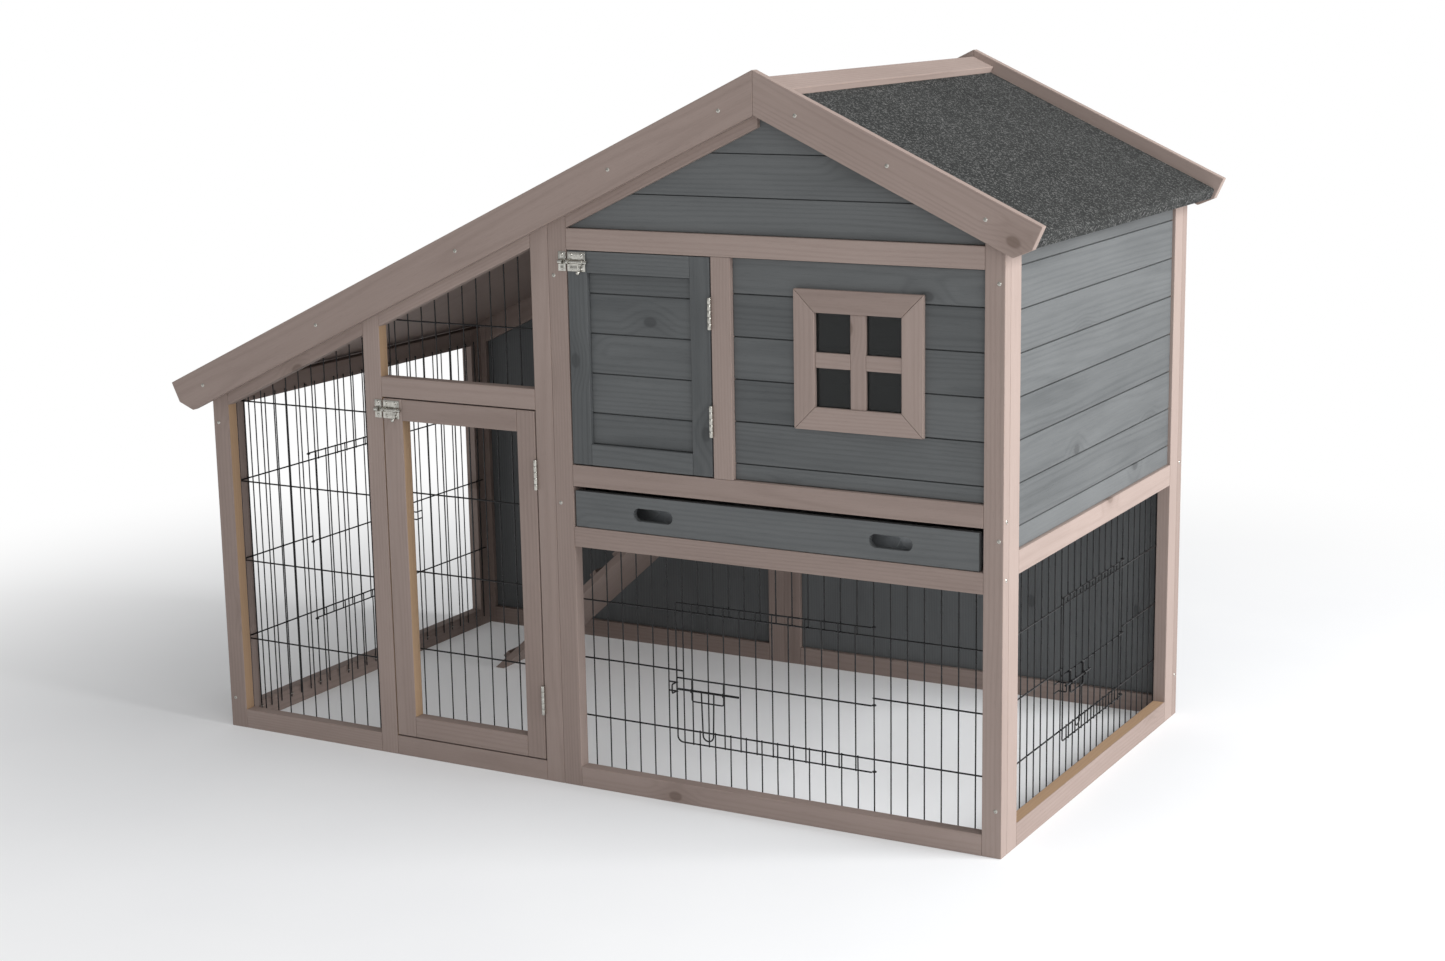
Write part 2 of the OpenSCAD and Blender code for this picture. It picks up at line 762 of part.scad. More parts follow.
// Ledges and a middle bar that carry the drawer tray.
module tray_runners() {
    z0 = runner_top - 16;
    color(STAIN) on_origin() {
        timber(run_w + frame_t, run_w + frame_t + 30, frame_t, back_y, z0, runner_top);
        timber(side_x - 34, side_x - 6, frame_t, back_y, z0, runner_top);
        timber(ridge_x - 16, ridge_x + 16, frame_t, back_y, z0, runner_top);
    }
}

// ---- the roof ------------------------------------------------------------------------------

// Outline of one fascia board: dir is -1 for the left slope and 1 for the right.
module fascia_outline(dir) {
    len = slope_len(dir);
    polygon([
        [ridge_x, ridge_h], [ridge_x, slope_z(ridge_x, fascia_w)],
        slope_pt(dir, len - fascia_chamfer, fascia_w), slope_pt(dir, len, fascia_cut),
        slope_pt(dir, len, 0)]);
}

// A layer of the roof between two depths, from the ridge down to s1.
module roof_layer(dir, d0, d1, s1) {
    upright(0, roof_y1) polygon([
        [ridge_x, slope_z(ridge_x, d0)], slope_pt(dir, s1, d0),
        slope_pt(dir, s1, d1), [ridge_x, slope_z(ridge_x, d1)]]);
}

module fascia_front_left() {
    color(STAIN) on_origin() upright(-fascia_t, fascia_t) fascia_outline(-1);
}

module fascia_front_right() {
    color(STAIN) on_origin() upright(-fascia_t, fascia_t) fascia_outline(1);
}

module fascia_rear_left() {
    color(STAIN) on_origin() upright(roof_y1, fascia_t) fascia_outline(-1);
}

module fascia_rear_right() {
    color(STAIN) on_origin() upright(roof_y1, fascia_t) fascia_outline(1);
}

module roof_deck_left() {
    color(STAIN) on_origin() roof_layer(-1, felt_drop + felt_t + deck_gap, rail_d1, slope_left - 8 - deck_gap);
}

module roof_deck_right() {
    color(STAIN) on_origin() roof_layer(1, felt_drop + felt_t + deck_gap, rail_d1, slope_right - 8 - deck_gap);
}

// The felt lies on the deck and turns down over the eave.
module roof_felt(dir) {
    s1 = slope_len(dir) - 8;
    roof_layer(dir, felt_drop, felt_drop + felt_t, s1 + felt_t);
    upright(0, roof_y1) polygon([
        slope_pt(dir, s1, felt_drop + 1), slope_pt(dir, s1 + felt_t, felt_drop + 1),
        slope_pt(dir, s1 + felt_t, rail_d1 + 2), slope_pt(dir, s1, rail_d1 + 2)]);
}

module roof_felt_left() {
    color(FELT) on_origin() roof_felt(-1);
}

module roof_felt_right() {
    color(FELT) on_origin() roof_felt(1);
}

// Two boards that meet over the ridge.
module ridge_cap() {
    s1 = cap_w + felt_drop * tan(roof_pitch) / 2;
    color(STAIN) on_origin() for (dir = [-1, 1]) upright(0.3, roof_y1 - 0.6) polygon([
        [ridge_x + dir * 0.1, slope_z(ridge_x, felt_drop - cap_t)],
        slope_pt(dir, s1, felt_drop - cap_t), slope_pt(dir, s1, felt_drop),
        [ridge_x + dir * 0.1, slope_z(ridge_x, felt_drop)]]);
}

module ridge_beam() {
    half = 16;
    z0 = slope_z(ridge_x + half, rail_d1) - 34;
    color(STAIN) on_origin() upright(frame_t, back_y - frame_t) polygon([
        [ridge_x - half, z0], [ridge_x + half, z0], [ridge_x + half, slope_z(ridge_x + half, rail_d1)],
        [ridge_x, slope_z(ridge_x, rail_d1)], [ridge_x - half, slope_z(ridge_x - half, rail_d1)]]);
}

// ---- fasteners and fixed hardware ----------------------------------------------------------

// Places along the fascia boards, and on the stiles, that are screwed.
left_fascia_x = [-7, 234, 509, 785, 970];
right_fascia_x = [1091, 1231, 1376];
stile_screws = [[10, 50], [10, 522], [677, 449], [677, 796], [1391, 70], [1393, 461], [1391, 817]];
side_screws = [[11, 404], [11, 487], [749, 70], [749, 433]];

module screws() {
    color(ZINC) on_origin() {
        for (x = concat(left_fascia_x, right_fascia_x)) {
            z = slope_z(x, fascia_w / 2);
            front_screw(x, z, -fascia_t);
            translate([0, roof_y1 + fascia_t, 0]) mirror([0, 1, 0]) front_screw(x, z);
        }
        for (p = stile_screws)
            front_screw(p[0], p[1]);
        on_side() for (p = side_screws)
            front_screw(p[0], p[1]);
    }
}

module bolt_keepers() {
    color(ZINC) on_origin() {
        keeper_at(door_x0 - fit_gap - keeper_plate[0] - 0.5, door_bolt_z);
        keeper_at(hatch_x0 - fit_gap - keeper_plate[0] - 0.5, hatch_bolt_z);
    }
}

module door_hinge_fixed() {
    color(ZINC) on_origin() for (z = door_hinge_zs)
        translate([door_hinge_x, hinge_y, z]) hinge_fixed(1, 18);
}

module hatch_hinge_fixed() {
    color(ZINC) on_origin() for (z = hatch_hinge_zs)
        translate([hatch_hinge_x, hinge_y, z]) hinge_fixed(1, 18);
}

// Lays a hinge on the ramp's axis, with its fixed leaf hanging down the partition rail.
module on_ramp_axis() {
    for (y = [ramp_y0 + 45, ramp_y0 + ramp_w - 45])
        translate([ramp_hinge_x, y, ramp_hinge_z]) rotate([90, 0, 0]) children();
}

module ramp_hinge_fixed() {
    part = hinge_l / 5;
    reach = run_w - ramp_hinge_x;
    color(ZINC) on_origin() on_ramp_axis() {
        for (i = [0, 2, 4]) translate([0, 0, -hinge_l / 2 + i * part + 0.15]) {
            cylinder(h = part - 0.3, r = knuckle_r, $fn = round_sides);
            translate([0, -2, 0]) cube([reach, 2, part - 0.3]);
        }
        translate([0, 0, -hinge_l / 2 + 0.15])
            cylinder(h = hinge_l - 0.3, r = pin_r, $fn = round_sides);
        translate([knuckle_r + 0.3, -24, -hinge_l / 2 + 0.15])
            cube([reach - knuckle_r - 0.3, 24, hinge_l - 0.3]);
    }
}

// ---- the run door --------------------------------------------------------------------------

module run_door_frame() {
    inner0 = door_x0 + door_rail_w + 2;
    inner1 = door_x1 - door_rail_w + 1;
    color(STAIN) on_origin() {
        timber(door_x0, inner0, 0, frame_t, door_z0, door_z1);
        timber(inner1, door_x1, 0, frame_t, door_z0, door_z1);
        rail(inner0, inner1, 0, door_z0, door_z0 + door_rail_w);
        rail(inner0, inner1, 0, door_z1 - door_rail_w, door_z1);
    }
}

module run_door_mesh() {
    first = door_x0 + door_rail_w + 6.5;
    color(BLACK) on_origin() {
        for (i = [0 : door_cols - 1])
            wire_up(first + i * wire_pitch, col_y, door_z0 + 20, door_z1 - 20);
        for (z = door_rows)
            wire_level(door_x0 + 24, door_x1 - 22, row_y, z);
    }
}

module run_door_bolt_plate() {
    color(ZINC) on_origin() bolt_plate_at(door_x0 + 0.5, door_bolt_z);
}

module run_door_bolt() {
    color(ZINC) on_origin() bolt_at(door_x0 + 0.5, door_bolt_z);
}

module door_hinge_moving() {
    color(ZINC) on_origin() for (z = door_hinge_zs)
        translate([door_hinge_x, hinge_y, z]) hinge_moving(-1, 18);
}

// ---- the hatch -----------------------------------------------------------------------------

module hatch_frame() {
    inner0 = hatch_x0 + hatch_rail_w;
    inner1 = hatch_x1 - hatch_rail_w;
    color(SLATE) on_origin() {
        timber(hatch_x0, inner0, 0, hatch_t, hatch_z0, hatch_z1);
        timber(inner1, hatch_x1, 0, hatch_t, hatch_z0, hatch_z1);
        timber(inner0 + seam, inner1 - seam, 0, hatch_t, hatch_z0, hatch_z0 + hatch_rail_w - 1);
        timber(inner0 + seam, inner1 - seam, 0, hatch_t, hatch_z1 - hatch_rail_w + 1, hatch_z1);
    }
}

module hatch_panel() {
    inner0 = hatch_x0 + hatch_rail_w;
    inner1 = hatch_x1 - hatch_rail_w;
    color(SLATE) on_origin()
        grooved(inner0, inner1, siding_recess - 1, hatch_z0 + 79.5, hatch_z1 - 50, 60)
            timber(inner0, inner1, siding_recess - 1, siding_recess + siding_t - 2,
                hatch_z0 + hatch_rail_w - 1, hatch_z1 - hatch_rail_w + 1);
}

module hatch_bolt_plate() {
    color(ZINC) on_origin() bolt_plate_at(hatch_x0 + 0.5, hatch_bolt_z);
}

module hatch_bolt() {
    color(ZINC) on_origin() bolt_at(hatch_x0 + 0.5, hatch_bolt_z);
}

module hatch_hinge_moving() {
    color(ZINC) on_origin() for (z = hatch_hinge_zs)
        translate([hatch_hinge_x, hinge_y, z]) hinge_moving(-1, 15);
}

// ---- the drawer ----------------------------------------------------------------------------

// A finger slot with round ends, drawn from its centre.
module slot_outline() {
    for (dir = [-1, 1])
        translate([dir * (slot_l - slot_h) / 2, 0]) circle(d = slot_h, $fn = round_sides);
    square([slot_l - slot_h, slot_h], center = true);
}

module drawer_front() {
    color(SLATE) on_origin() upright(drawer_y0, drawer_t) difference() {
        translate([drawer_x0, drawer_z0]) square([drawer_x1 - drawer_x0, drawer_front_h]);
        for (x = [drawer_x0 + slot_in, drawer_x1 - slot_in])
            translate([x, drawer_z0 + drawer_front_h / 2]) slot_outline();
    }
}

// A sheet tray whose floor runs forward under the finger room to the drawer front.
module drawer_tray() {
    y0 = drawer_y0 + drawer_t;
    w = tray_x1 - tray_x0;
    color(ZINC) on_origin() translate([tray_x0, y0, tray_z0]) {
        cube([w, tray_depth, tray_t]);
        translate([0, tray_gap, 0]) difference() {
            cube([w, tray_depth - tray_gap, tray_wall_h]);
            translate([tray_t, tray_t, -1])
                cube([w - 2 * tray_t, tray_depth - tray_gap - 2 * tray_t, tray_wall_h + 2]);
        }
        cube([w, tray_t, tray_wall_h * 0.3]);
    }
}

// ---- the ramp ------------------------------------------------------------------------------

// A point t down the ramp from its hinge and h above its lower face, as X and Z.
function ramp_pt(t, h) = [
    ramp_hinge_x - t * cos(ramp_angle) + (ramp_t + ramp_leaf_gap - h) * sin(ramp_angle),
    ramp_hinge_z - t * sin(ramp_angle) - (ramp_t + ramp_leaf_gap - h) * cos(ramp_angle)];

// How far down the ramp a line h above its lower face meets the ground.
function ramp_reach(h) =
    (ramp_hinge_z - ramp_ground_gap - (ramp_t + ramp_leaf_gap - h) * cos(ramp_angle)) / sin(ramp_angle);

module ramp_board() {
    color(STAIN) on_origin() upright(ramp_y0, ramp_w) polygon([
        ramp_pt(18, 0), ramp_pt(ramp_reach(0), 0), ramp_pt(ramp_reach(ramp_t), ramp_t),
        ramp_pt(7, ramp_t)]);
}

module ramp_cleats() {
    step = (ramp_reach(ramp_t) - cleat_first - 40) / (cleat_count - 1);
    color(STAIN) on_origin() for (i = [0 : cleat_count - 1]) {
        t = cleat_first + i * step;
        upright(ramp_y0 + 8, ramp_w - 16) polygon([
            ramp_pt(t, ramp_t), ramp_pt(t + cleat_l, ramp_t),
            ramp_pt(t + cleat_l, ramp_t + cleat_h), ramp_pt(t, ramp_t + cleat_h)]);
    }
}

module ramp_hinge_moving() {
    part = hinge_l / 5;
    color(ZINC) on_origin() on_ramp_axis() difference() {
        union() {
            for (i = [1, 3])
                translate([0, 0, -hinge_l / 2 + i * part + 0.15]) {
                    cylinder(h = part - 0.3, r = knuckle_r, $fn = round_sides);
                    rotate([0, 0, ramp_angle]) translate([-9, -1, 0.2]) cube([7, 2, part - 0.7]);
                }
            rotate([0, 0, ramp_angle]) translate([-26, -1, -hinge_l / 2 + 0.15])
                cube([22, 2, hinge_l - 0.3]);
        }
        translate([0, 0, -hinge_l / 2 - 1])
            cylinder(h = hinge_l + 2, r = pin_r + pin_play, $fn = round_sides);
    }
}

// ---- the wire doors ------------------------------------------------------------------------

module front_wire_door() {
    color(BLACK) on_origin() wire_door(front_gate_door);
}

module front_wire_latch() {
    color(BLACK) on_origin() wire_latch(front_gate_door);
}

module side_wire_door() {
    color(BLACK) on_origin() on_side() wire_door(side_gate_door);
}

module side_wire_latch() {
    color(BLACK) on_origin() on_side() wire_latch(side_gate_door);
}

module end_wire_door() {
    color(BLACK) on_origin() on_end() wire_door(end_gate_door);
}

module end_wire_latch() {
    color(BLACK) on_origin() on_end() wire_latch(end_gate_door);
}

run_front_frame();
run_front_mesh();
run_window_mesh();
run_end_frame();
run_end_mesh();
run_rear_frame();
run_rear_panel();
house_front_frame();
house_front_siding();
gable_front_siding();
window_trim();
window_muntins();
window_pane();
house_front_mesh();
house_side_frame();
house_side_siding();
house_side_mesh();
house_rear_frame();
house_rear_siding();
house_rear_panel();
partition_frame();
partition_siding();
tray_runners();
fascia_front_left();
fascia_front_right();
fascia_rear_left();
fascia_rear_right();
roof_deck_left();
roof_deck_right();
roof_felt_left();
roof_felt_right();
ridge_cap();
ridge_beam();
screws();
bolt_keepers();
door_hinge_fixed();
hatch_hinge_fixed();
ramp_hinge_fixed();
run_door_frame();
run_door_mesh();
run_door_bolt_plate();
run_door_bolt();
door_hinge_moving();
hatch_frame();
hatch_panel();
hatch_bolt_plate();
hatch_bolt();
hatch_hinge_moving();
drawer_front();
drawer_tray();
ramp_board();
ramp_cleats();
ramp_hinge_moving();
front_wire_door();
front_wire_latch();
side_wire_door();
side_wire_latch();
end_wire_door();
end_wire_latch();
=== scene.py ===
"""Looks of a two-storey rabbit hutch: stained timber, slate boarding, welded wire and mineral felt.

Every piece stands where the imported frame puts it. Places given to ``Layout.at`` and ``Layout.on``, and the
sizes of boards, roof and wire, are in millimetres; vectors, boxes and the studio are in metres.
"""

import json
import logging
import math
import random
from collections.abc import Callable, Sequence
from dataclasses import dataclass, field
from enum import Enum

import bmesh
import bpy
from mathutils import Matrix, Vector, noise

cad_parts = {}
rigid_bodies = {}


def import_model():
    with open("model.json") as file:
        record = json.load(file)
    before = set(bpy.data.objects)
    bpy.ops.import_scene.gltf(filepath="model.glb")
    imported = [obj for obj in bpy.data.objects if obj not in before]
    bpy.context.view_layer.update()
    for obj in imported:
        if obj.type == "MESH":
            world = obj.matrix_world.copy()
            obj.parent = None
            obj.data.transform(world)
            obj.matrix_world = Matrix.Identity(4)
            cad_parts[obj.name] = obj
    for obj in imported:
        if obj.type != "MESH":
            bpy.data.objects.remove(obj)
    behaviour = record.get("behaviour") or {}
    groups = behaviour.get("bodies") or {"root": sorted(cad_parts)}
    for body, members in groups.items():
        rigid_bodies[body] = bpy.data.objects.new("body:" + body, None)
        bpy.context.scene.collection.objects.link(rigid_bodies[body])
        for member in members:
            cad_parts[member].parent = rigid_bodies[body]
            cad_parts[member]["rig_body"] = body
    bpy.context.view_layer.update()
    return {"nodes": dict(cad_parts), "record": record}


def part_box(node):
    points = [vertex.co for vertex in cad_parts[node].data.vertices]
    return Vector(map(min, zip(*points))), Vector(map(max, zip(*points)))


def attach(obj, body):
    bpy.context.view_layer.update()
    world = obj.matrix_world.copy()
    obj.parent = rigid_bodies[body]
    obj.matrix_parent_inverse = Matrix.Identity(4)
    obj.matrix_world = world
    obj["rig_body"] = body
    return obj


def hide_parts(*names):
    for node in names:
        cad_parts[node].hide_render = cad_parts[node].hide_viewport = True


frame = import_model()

LOG = logging.getLogger("hutch")
MM = 0.001
WELD = 1e-5
WHITE = (1.0, 1.0, 1.0, 1.0)
Colour = tuple[float, float, float]
Point2 = tuple[float, float]


# ---- places ---------------------------------------------------------------------------------------


class Wall(Enum):
    """The four outside walls, each with its own run of distance and depth."""

    FRONT = "front"
    SIDE = "side"
    END = "end"
    REAR = "rear"


@dataclass(frozen=True)
class Layout:
    """The hutch's own drawing frame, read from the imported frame."""

    corner: Vector
    width: float
    depth: float

    @classmethod
    def from_frame(cls) -> "Layout":
        """Reads the corner, the width and the depth of the standing frames.

        Returns:
            The layout, with its corner in metres and its sizes in millimetres.
        """
        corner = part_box("run_front_frame")[0]
        width = (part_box("house_front_frame")[1].x - corner.x) / MM
        depth = (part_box("house_rear_frame")[1].y - corner.y) / MM
        return cls(corner.copy(), width, depth)

    def at(self, x: float, y: float, z: float) -> Vector:
        """Turns a place in millimetres from the front left corner into metres in the frame."""
        return Vector((self.corner.x + x * MM, self.corner.y + y * MM, z * MM))

    def on(self, wall: Wall, s: float, d: float, z: float) -> Vector:
        """Gives a place on a wall.

        Args:
            wall: The wall to stand on.
            s: Distance along the wall, in millimetres.
            d: Depth in from the wall's outer face, in millimetres.
            z: Height, in millimetres.

        Returns:
            The place in metres, in the frame.
        """
        if wall is Wall.FRONT:
            return self.at(s, d, z)
        if wall is Wall.SIDE:
            return self.at(self.width - d, s, z)
        if wall is Wall.END:
            return self.at(d, self.depth - s, z)
        return self.at(s, self.depth - d, z)


LAYOUT = Layout.from_frame()


# ---- node graphs ----------------------------------------------------------------------------------


class Sock:
    """An output socket that takes part in Python arithmetic."""

    def __init__(self, graph: "Graph", socket: bpy.types.NodeSocket) -> None:
        """Keeps the socket and the graph that it belongs to."""
        self.graph = graph
        self.socket = socket

    def _math(self, operation: str, *values: "Sock | float") -> "Sock":
        """Adds a Math node over the given values."""
        made = self.graph.node("ShaderNodeMath", {"operation": operation}, dict(enumerate(values)))
        return made[0]

    def __add__(self, other: "Sock | float") -> "Sock":
        """Adds."""
        return self._math("ADD", self, other)

    __radd__ = __add__

    def __sub__(self, other: "Sock | float") -> "Sock":
        """Subtracts."""
        return self._math("SUBTRACT", self, other)

    def __rsub__(self, other: float) -> "Sock":
        """Subtracts from a number."""
        return self._math("SUBTRACT", other, self)

    def __mul__(self, other: "Sock | float") -> "Sock":
        """Multiplies."""
        return self._math("MULTIPLY", self, other)

    __rmul__ = __mul__

    def __truediv__(self, other: "Sock | float") -> "Sock":
        """Divides."""
        return self._math("DIVIDE", self, other)

    def __pow__(self, other: "Sock | float") -> "Sock":
        """Raises to a power."""
        return self._math("POWER", self, other)

    def sine(self) -> "Sock":
        """Gives the sine."""
        return self._math("SINE", self)

    def root(self) -> "Sock":
        """Gives the square root."""
        return self._math("SQRT", self)

    def over(self, edge: float) -> "Sock":
        """Gives 1 where the value is over the edge."""
        return self._math("GREATER_THAN", self, edge)

    def ramp(self, low: float, high: float) -> "Sock":
        """Makes a smooth step.

        Args:
            low: Where it is 0. It falls instead of rising where this is the larger.
            high: Where it is 1.

        Returns:
            The step, held between 0 and 1.
        """
        flip = low > high
        made = self.graph.node(
            "ShaderNodeMapRange",
            {"interpolation_type": "SMOOTHSTEP", "clamp": True},
            {0: self, 1: min(low, high), 2: max(low, high), 3: 1.0 if flip else 0.0, 4: 0.0 if flip else 1.0},
        )
        return made[0]

    def clamp(self) -> "Sock":
        """Holds the value between 0 and 1."""
        return self.graph.node("ShaderNodeClamp", {}, {0: self})[0]


class Made:
    """A node just added, indexed by its outputs."""

    def __init__(self, graph: "Graph", node: bpy.types.Node) -> None:
        """Keeps the node."""
        self.graph = graph
        self.node = node

    def __getitem__(self, key: "int | str") -> Sock:
        """Gives an output socket by its number or its name."""
        return Sock(self.graph, self.node.outputs[key])


class Graph:
    """A node tree that is written as Python."""

    def __init__(self, tree: bpy.types.NodeTree) -> None:
        """Takes over an empty tree."""
        self.tree = tree

    def node(self, kind: str, settings: dict | None = None, inputs: dict | None = None) -> Made:
        """Adds a node.

        Args:
            kind: The node's type.
            settings: Its own settings, which are set before its sockets.
            inputs: Values or sockets, by input number or name.

        Returns:
            The node, indexed by its outputs.
        """
        made = self.tree.nodes.new(kind)
        for name, value in (settings or {}).items():
            setattr(made, name, value)
        for key, value in (inputs or {}).items():
            if isinstance(value, Sock):
                self.tree.links.new(value.socket, made.inputs[key])
            else:
                made.inputs[key].default_value = value
        return Made(self, made)

    def mix(self, factor: "Sock | float", low: "Sock | Colour", high: "Sock | Colour") -> Sock:
        """Mixes two colours by a factor."""
        first, second = (c if isinstance(c, Sock) else (*c, 1.0) for c in (low, high))
        return self.node("ShaderNodeMix", {"data_type": "RGBA"}, {0: factor, 6: first, 7: second})[2]

    def join(self, x: "Sock | float", y: "Sock | float", z: "Sock | float") -> Sock:
        """Joins three numbers into a vector."""
        return self.node("ShaderNodeCombineXYZ", {}, {0: x, 1: y, 2: z})[0]

    def split(self, vector: Sock) -> tuple[Sock, Sock, Sock]:
        """Splits a vector into its three numbers."""
        made = self.node("ShaderNodeSeparateXYZ", {}, {0: vector})
        return made[0], made[1], made[2]

    def stretch(self, vector: Sock, by: Colour) -> Sock:
        """Multiplies a vector by a scale for each axis."""
        return self.node("ShaderNodeVectorMath", {"operation": "MULTIPLY"}, {0: vector, 1: by})[0]

    def noise(self, vector: Sock, scale: float, detail: float = 2.0, rough: float = 0.5) -> Sock:
        """Adds a noise texture and gives its value."""
        sizes = {"Vector": vector, "Scale": scale, "Detail": detail, "Roughness": rough}
        return self.node("ShaderNodeTexNoise", {}, sizes)[0]

    def cells(self, vector: Sock, scale: float, dimensions: str = "3D") -> Made:
        """Adds a field of irregular cells."""
        sizes = {"Vector": vector, "Scale": scale, "Randomness": 1.0}
        return self.node("ShaderNodeTexVoronoi", {"voronoi_dimensions": dimensions}, sizes)

    def attribute(self, name: str) -> Made:
        """Reads a mesh attribute."""
        return self.node("ShaderNodeAttribute", {"attribute_name": name})

    def here(self) -> Sock:
        """Gives the Object coordinates."""
        return self.node("ShaderNodeTexCoord")[3]


class Surface(Graph):
    """A material's shader tree, ending in one Principled shader."""

    def __init__(self, name: str) -> None:
        """Makes the material and clears its tree.

        Args:
            name: The material's name.
        """
        self.material = bpy.data.materials.new(name)
        self.material.use_nodes = True
        self.material.node_tree.nodes.clear()
        super().__init__(self.material.node_tree)

    def principled(self, **values: "Sock | float | tuple") -> bpy.types.Material:
        """Ends the tree.

        Args:
            **values: Inputs of the Principled shader, with underscores for the spaces in their names.

        Returns:
            The finished material.
        """
        inputs = {key.replace("_", " "): value for key, value in values.items()}
        shader = self.node("ShaderNodeBsdfPrincipled", {}, inputs)
        self.node("ShaderNodeOutputMaterial", {}, {0: shader[0]})
        return self.material

    def bump(self, height: Sock, strength: float, distance: float) -> Sock:
        """Turns a height into a normal."""
        sizes = {"Strength": strength, "Distance": distance, "Height": height}
        return self.node("ShaderNodeBump", {}, sizes)[0]


# ---- finishes -------------------------------------------------------------------------------------


@dataclass(frozen=True)
class WoodFinish:
    """Softwood with a thin stain that leaves the grain showing.

    Attributes:
        name: The material's name.
        light: The stain on pale wood.
        dark: The stain where the wood is dense.
        knot: The colour of a knot's heart.
        raw: Bare pale wood.
        raw_dark: Bare dense wood.
        ring: How far the year rings darken the stain.
        fibre: How far the fibres do.
        knot_share: Share of the cells along a board that hold no knot.
        roughness: The middle roughness.
        wear: How much bare wood shows along the eased edges.
        blotch: How unevenly the stain took.
        year: Year rings to a metre of trunk radius.
    """

    name: str
    light: Colour
    dark: Colour
    knot: Colour
    raw: Colour = (0.43, 0.29, 0.18)
    raw_dark: Colour = (0.30, 0.19, 0.115)
    ring: float = 0.35
    fibre: float = 0.5
    knot_share: float = 0.72
    roughness: float = 0.68
    wear: float = 0.1
    blotch: float = 0.5
    year: float = 210.0

    def build(self) -> bpy.types.Material:
        """Builds the material.

        Returns:
            A material that reads each timber's grain, tone, edge and bare attributes.
        """
        g = Surface(self.name)
        u, v, w = g.split(g.attribute("grain")["Vector"])
        tone = g.attribute("tone")["Fac"]
        bare = g.attribute("bare")["Fac"]
        edge = g.attribute("edge")["Fac"]
        cells = g.cells(g.join(u * 6.0, v * 9.0, 0.0), 1.0, "2D")
        chosen = g.split(cells["Color"])[0].over(self.knot_share)
        core = cells["Distance"].ramp(0.085, 0.05) * chosen
        halo = cells["Distance"].ramp(0.34, 0.02) * chosen
        drift = g.noise(g.join(u * 1.6, v * 6.0, w * 6.0), 1.0, 2.0)
        trunk = (v * v + w * w).root() * self.year + drift * 4.2 + halo * 1.8
        ring = ((trunk * math.tau).sine() * 0.5 + 0.5) ** 2.2
        fibre = g.noise(g.join(u * 11.0, v * 430.0, w * 430.0), 1.0, 4.0, 0.62)
        pores = g.noise(g.join(u * 55.0, v * 900.0, w * 900.0), 1.0, 2.0).ramp(0.58, 0.74)
        blotch = g.noise(g.join(u * 5.0, v * 18.0, w * 18.0), 1.0, 3.0)
        shade = (ring * self.ring + (fibre - 0.5) * self.fibre + (blotch - 0.5) * self.blotch
                 + (tone - 0.5) * 0.5 + pores * 0.18 + 0.32).clamp()
        stain = g.mix(shade, self.light, self.dark)
        stain = g.mix(core * 0.6, stain, self.knot)
        stain = g.mix((halo - core).clamp() * 0.16, stain, self.knot)
        worn = (edge * g.noise(g.here(), 140.0, 3.0).ramp(0.50, 0.70)) * self.wear
        stain = g.mix(worn, stain, self.raw)
        bare_wood = g.mix((shade * 0.9).clamp(), self.raw, self.raw_dark)
        colour = g.mix(bare, stain, bare_wood)
        rough = (fibre - 0.5) * 0.22 + core * -0.12 + self.roughness
        relief = fibre * 0.6 + ring * 0.35 - pores * 0.5 - core * 0.6
        return g.principled(Base_Color=colour, Roughness=rough.clamp(), Specular_IOR_Level=0.32,
                            Normal=g.bump(relief, 0.34, 0.0007))


@dataclass(frozen=True)
class FeltFinish:
    """Bitumen felt faced with slate grit.

    Attributes:
        name: The material's name.
        body: The bitumen between the grains.
        grit: The grains.
        speck: The palest grains and flakes.
        fine: Grains to a metre.
        coarse: Flakes to a metre.
    """

    name: str = "gritted_felt"
    body: Colour = (0.016, 0.017, 0.017)
    grit: Colour = (0.056, 0.058, 0.057)
    speck: Colour = (0.23, 0.23, 0.225)
    fine: float = 520.0
    coarse: float = 300.0

    def build(self) -> bpy.types.Material:
        """Builds the material.

        Returns:
            A material with one grain of grit to a cell.
        """
        g = Surface(self.name)
        place = g.here()
        cells = g.cells(place, self.fine)
        pick = g.split(cells["Color"])[0]
        coarse = g.cells(place, self.coarse)
        flake = g.split(coarse["Color"])[1].over(0.86) * coarse["Distance"].ramp(0.55, 0.25)
        cloud = g.noise(place, 7.0, 3.0)
        colour = g.mix((pick * 0.9 + (cloud - 0.5) * 0.5).clamp(), self.body, self.grit)
        colour = g.mix(pick.over(0.86) * 0.42, colour, self.speck)
        colour = g.mix(flake * 0.34, colour, self.speck)
        rough = pick * 0.12 + 0.86
        relief = cells["Distance"] * -1.0 + pick * 0.6 + g.noise(place, 60.0, 2.0) * 1.2
        return g.principled(Base_Color=colour, Roughness=rough.clamp(), Specular_IOR_Level=0.12,
                            Normal=g.bump(relief, 0.7, 0.0009))


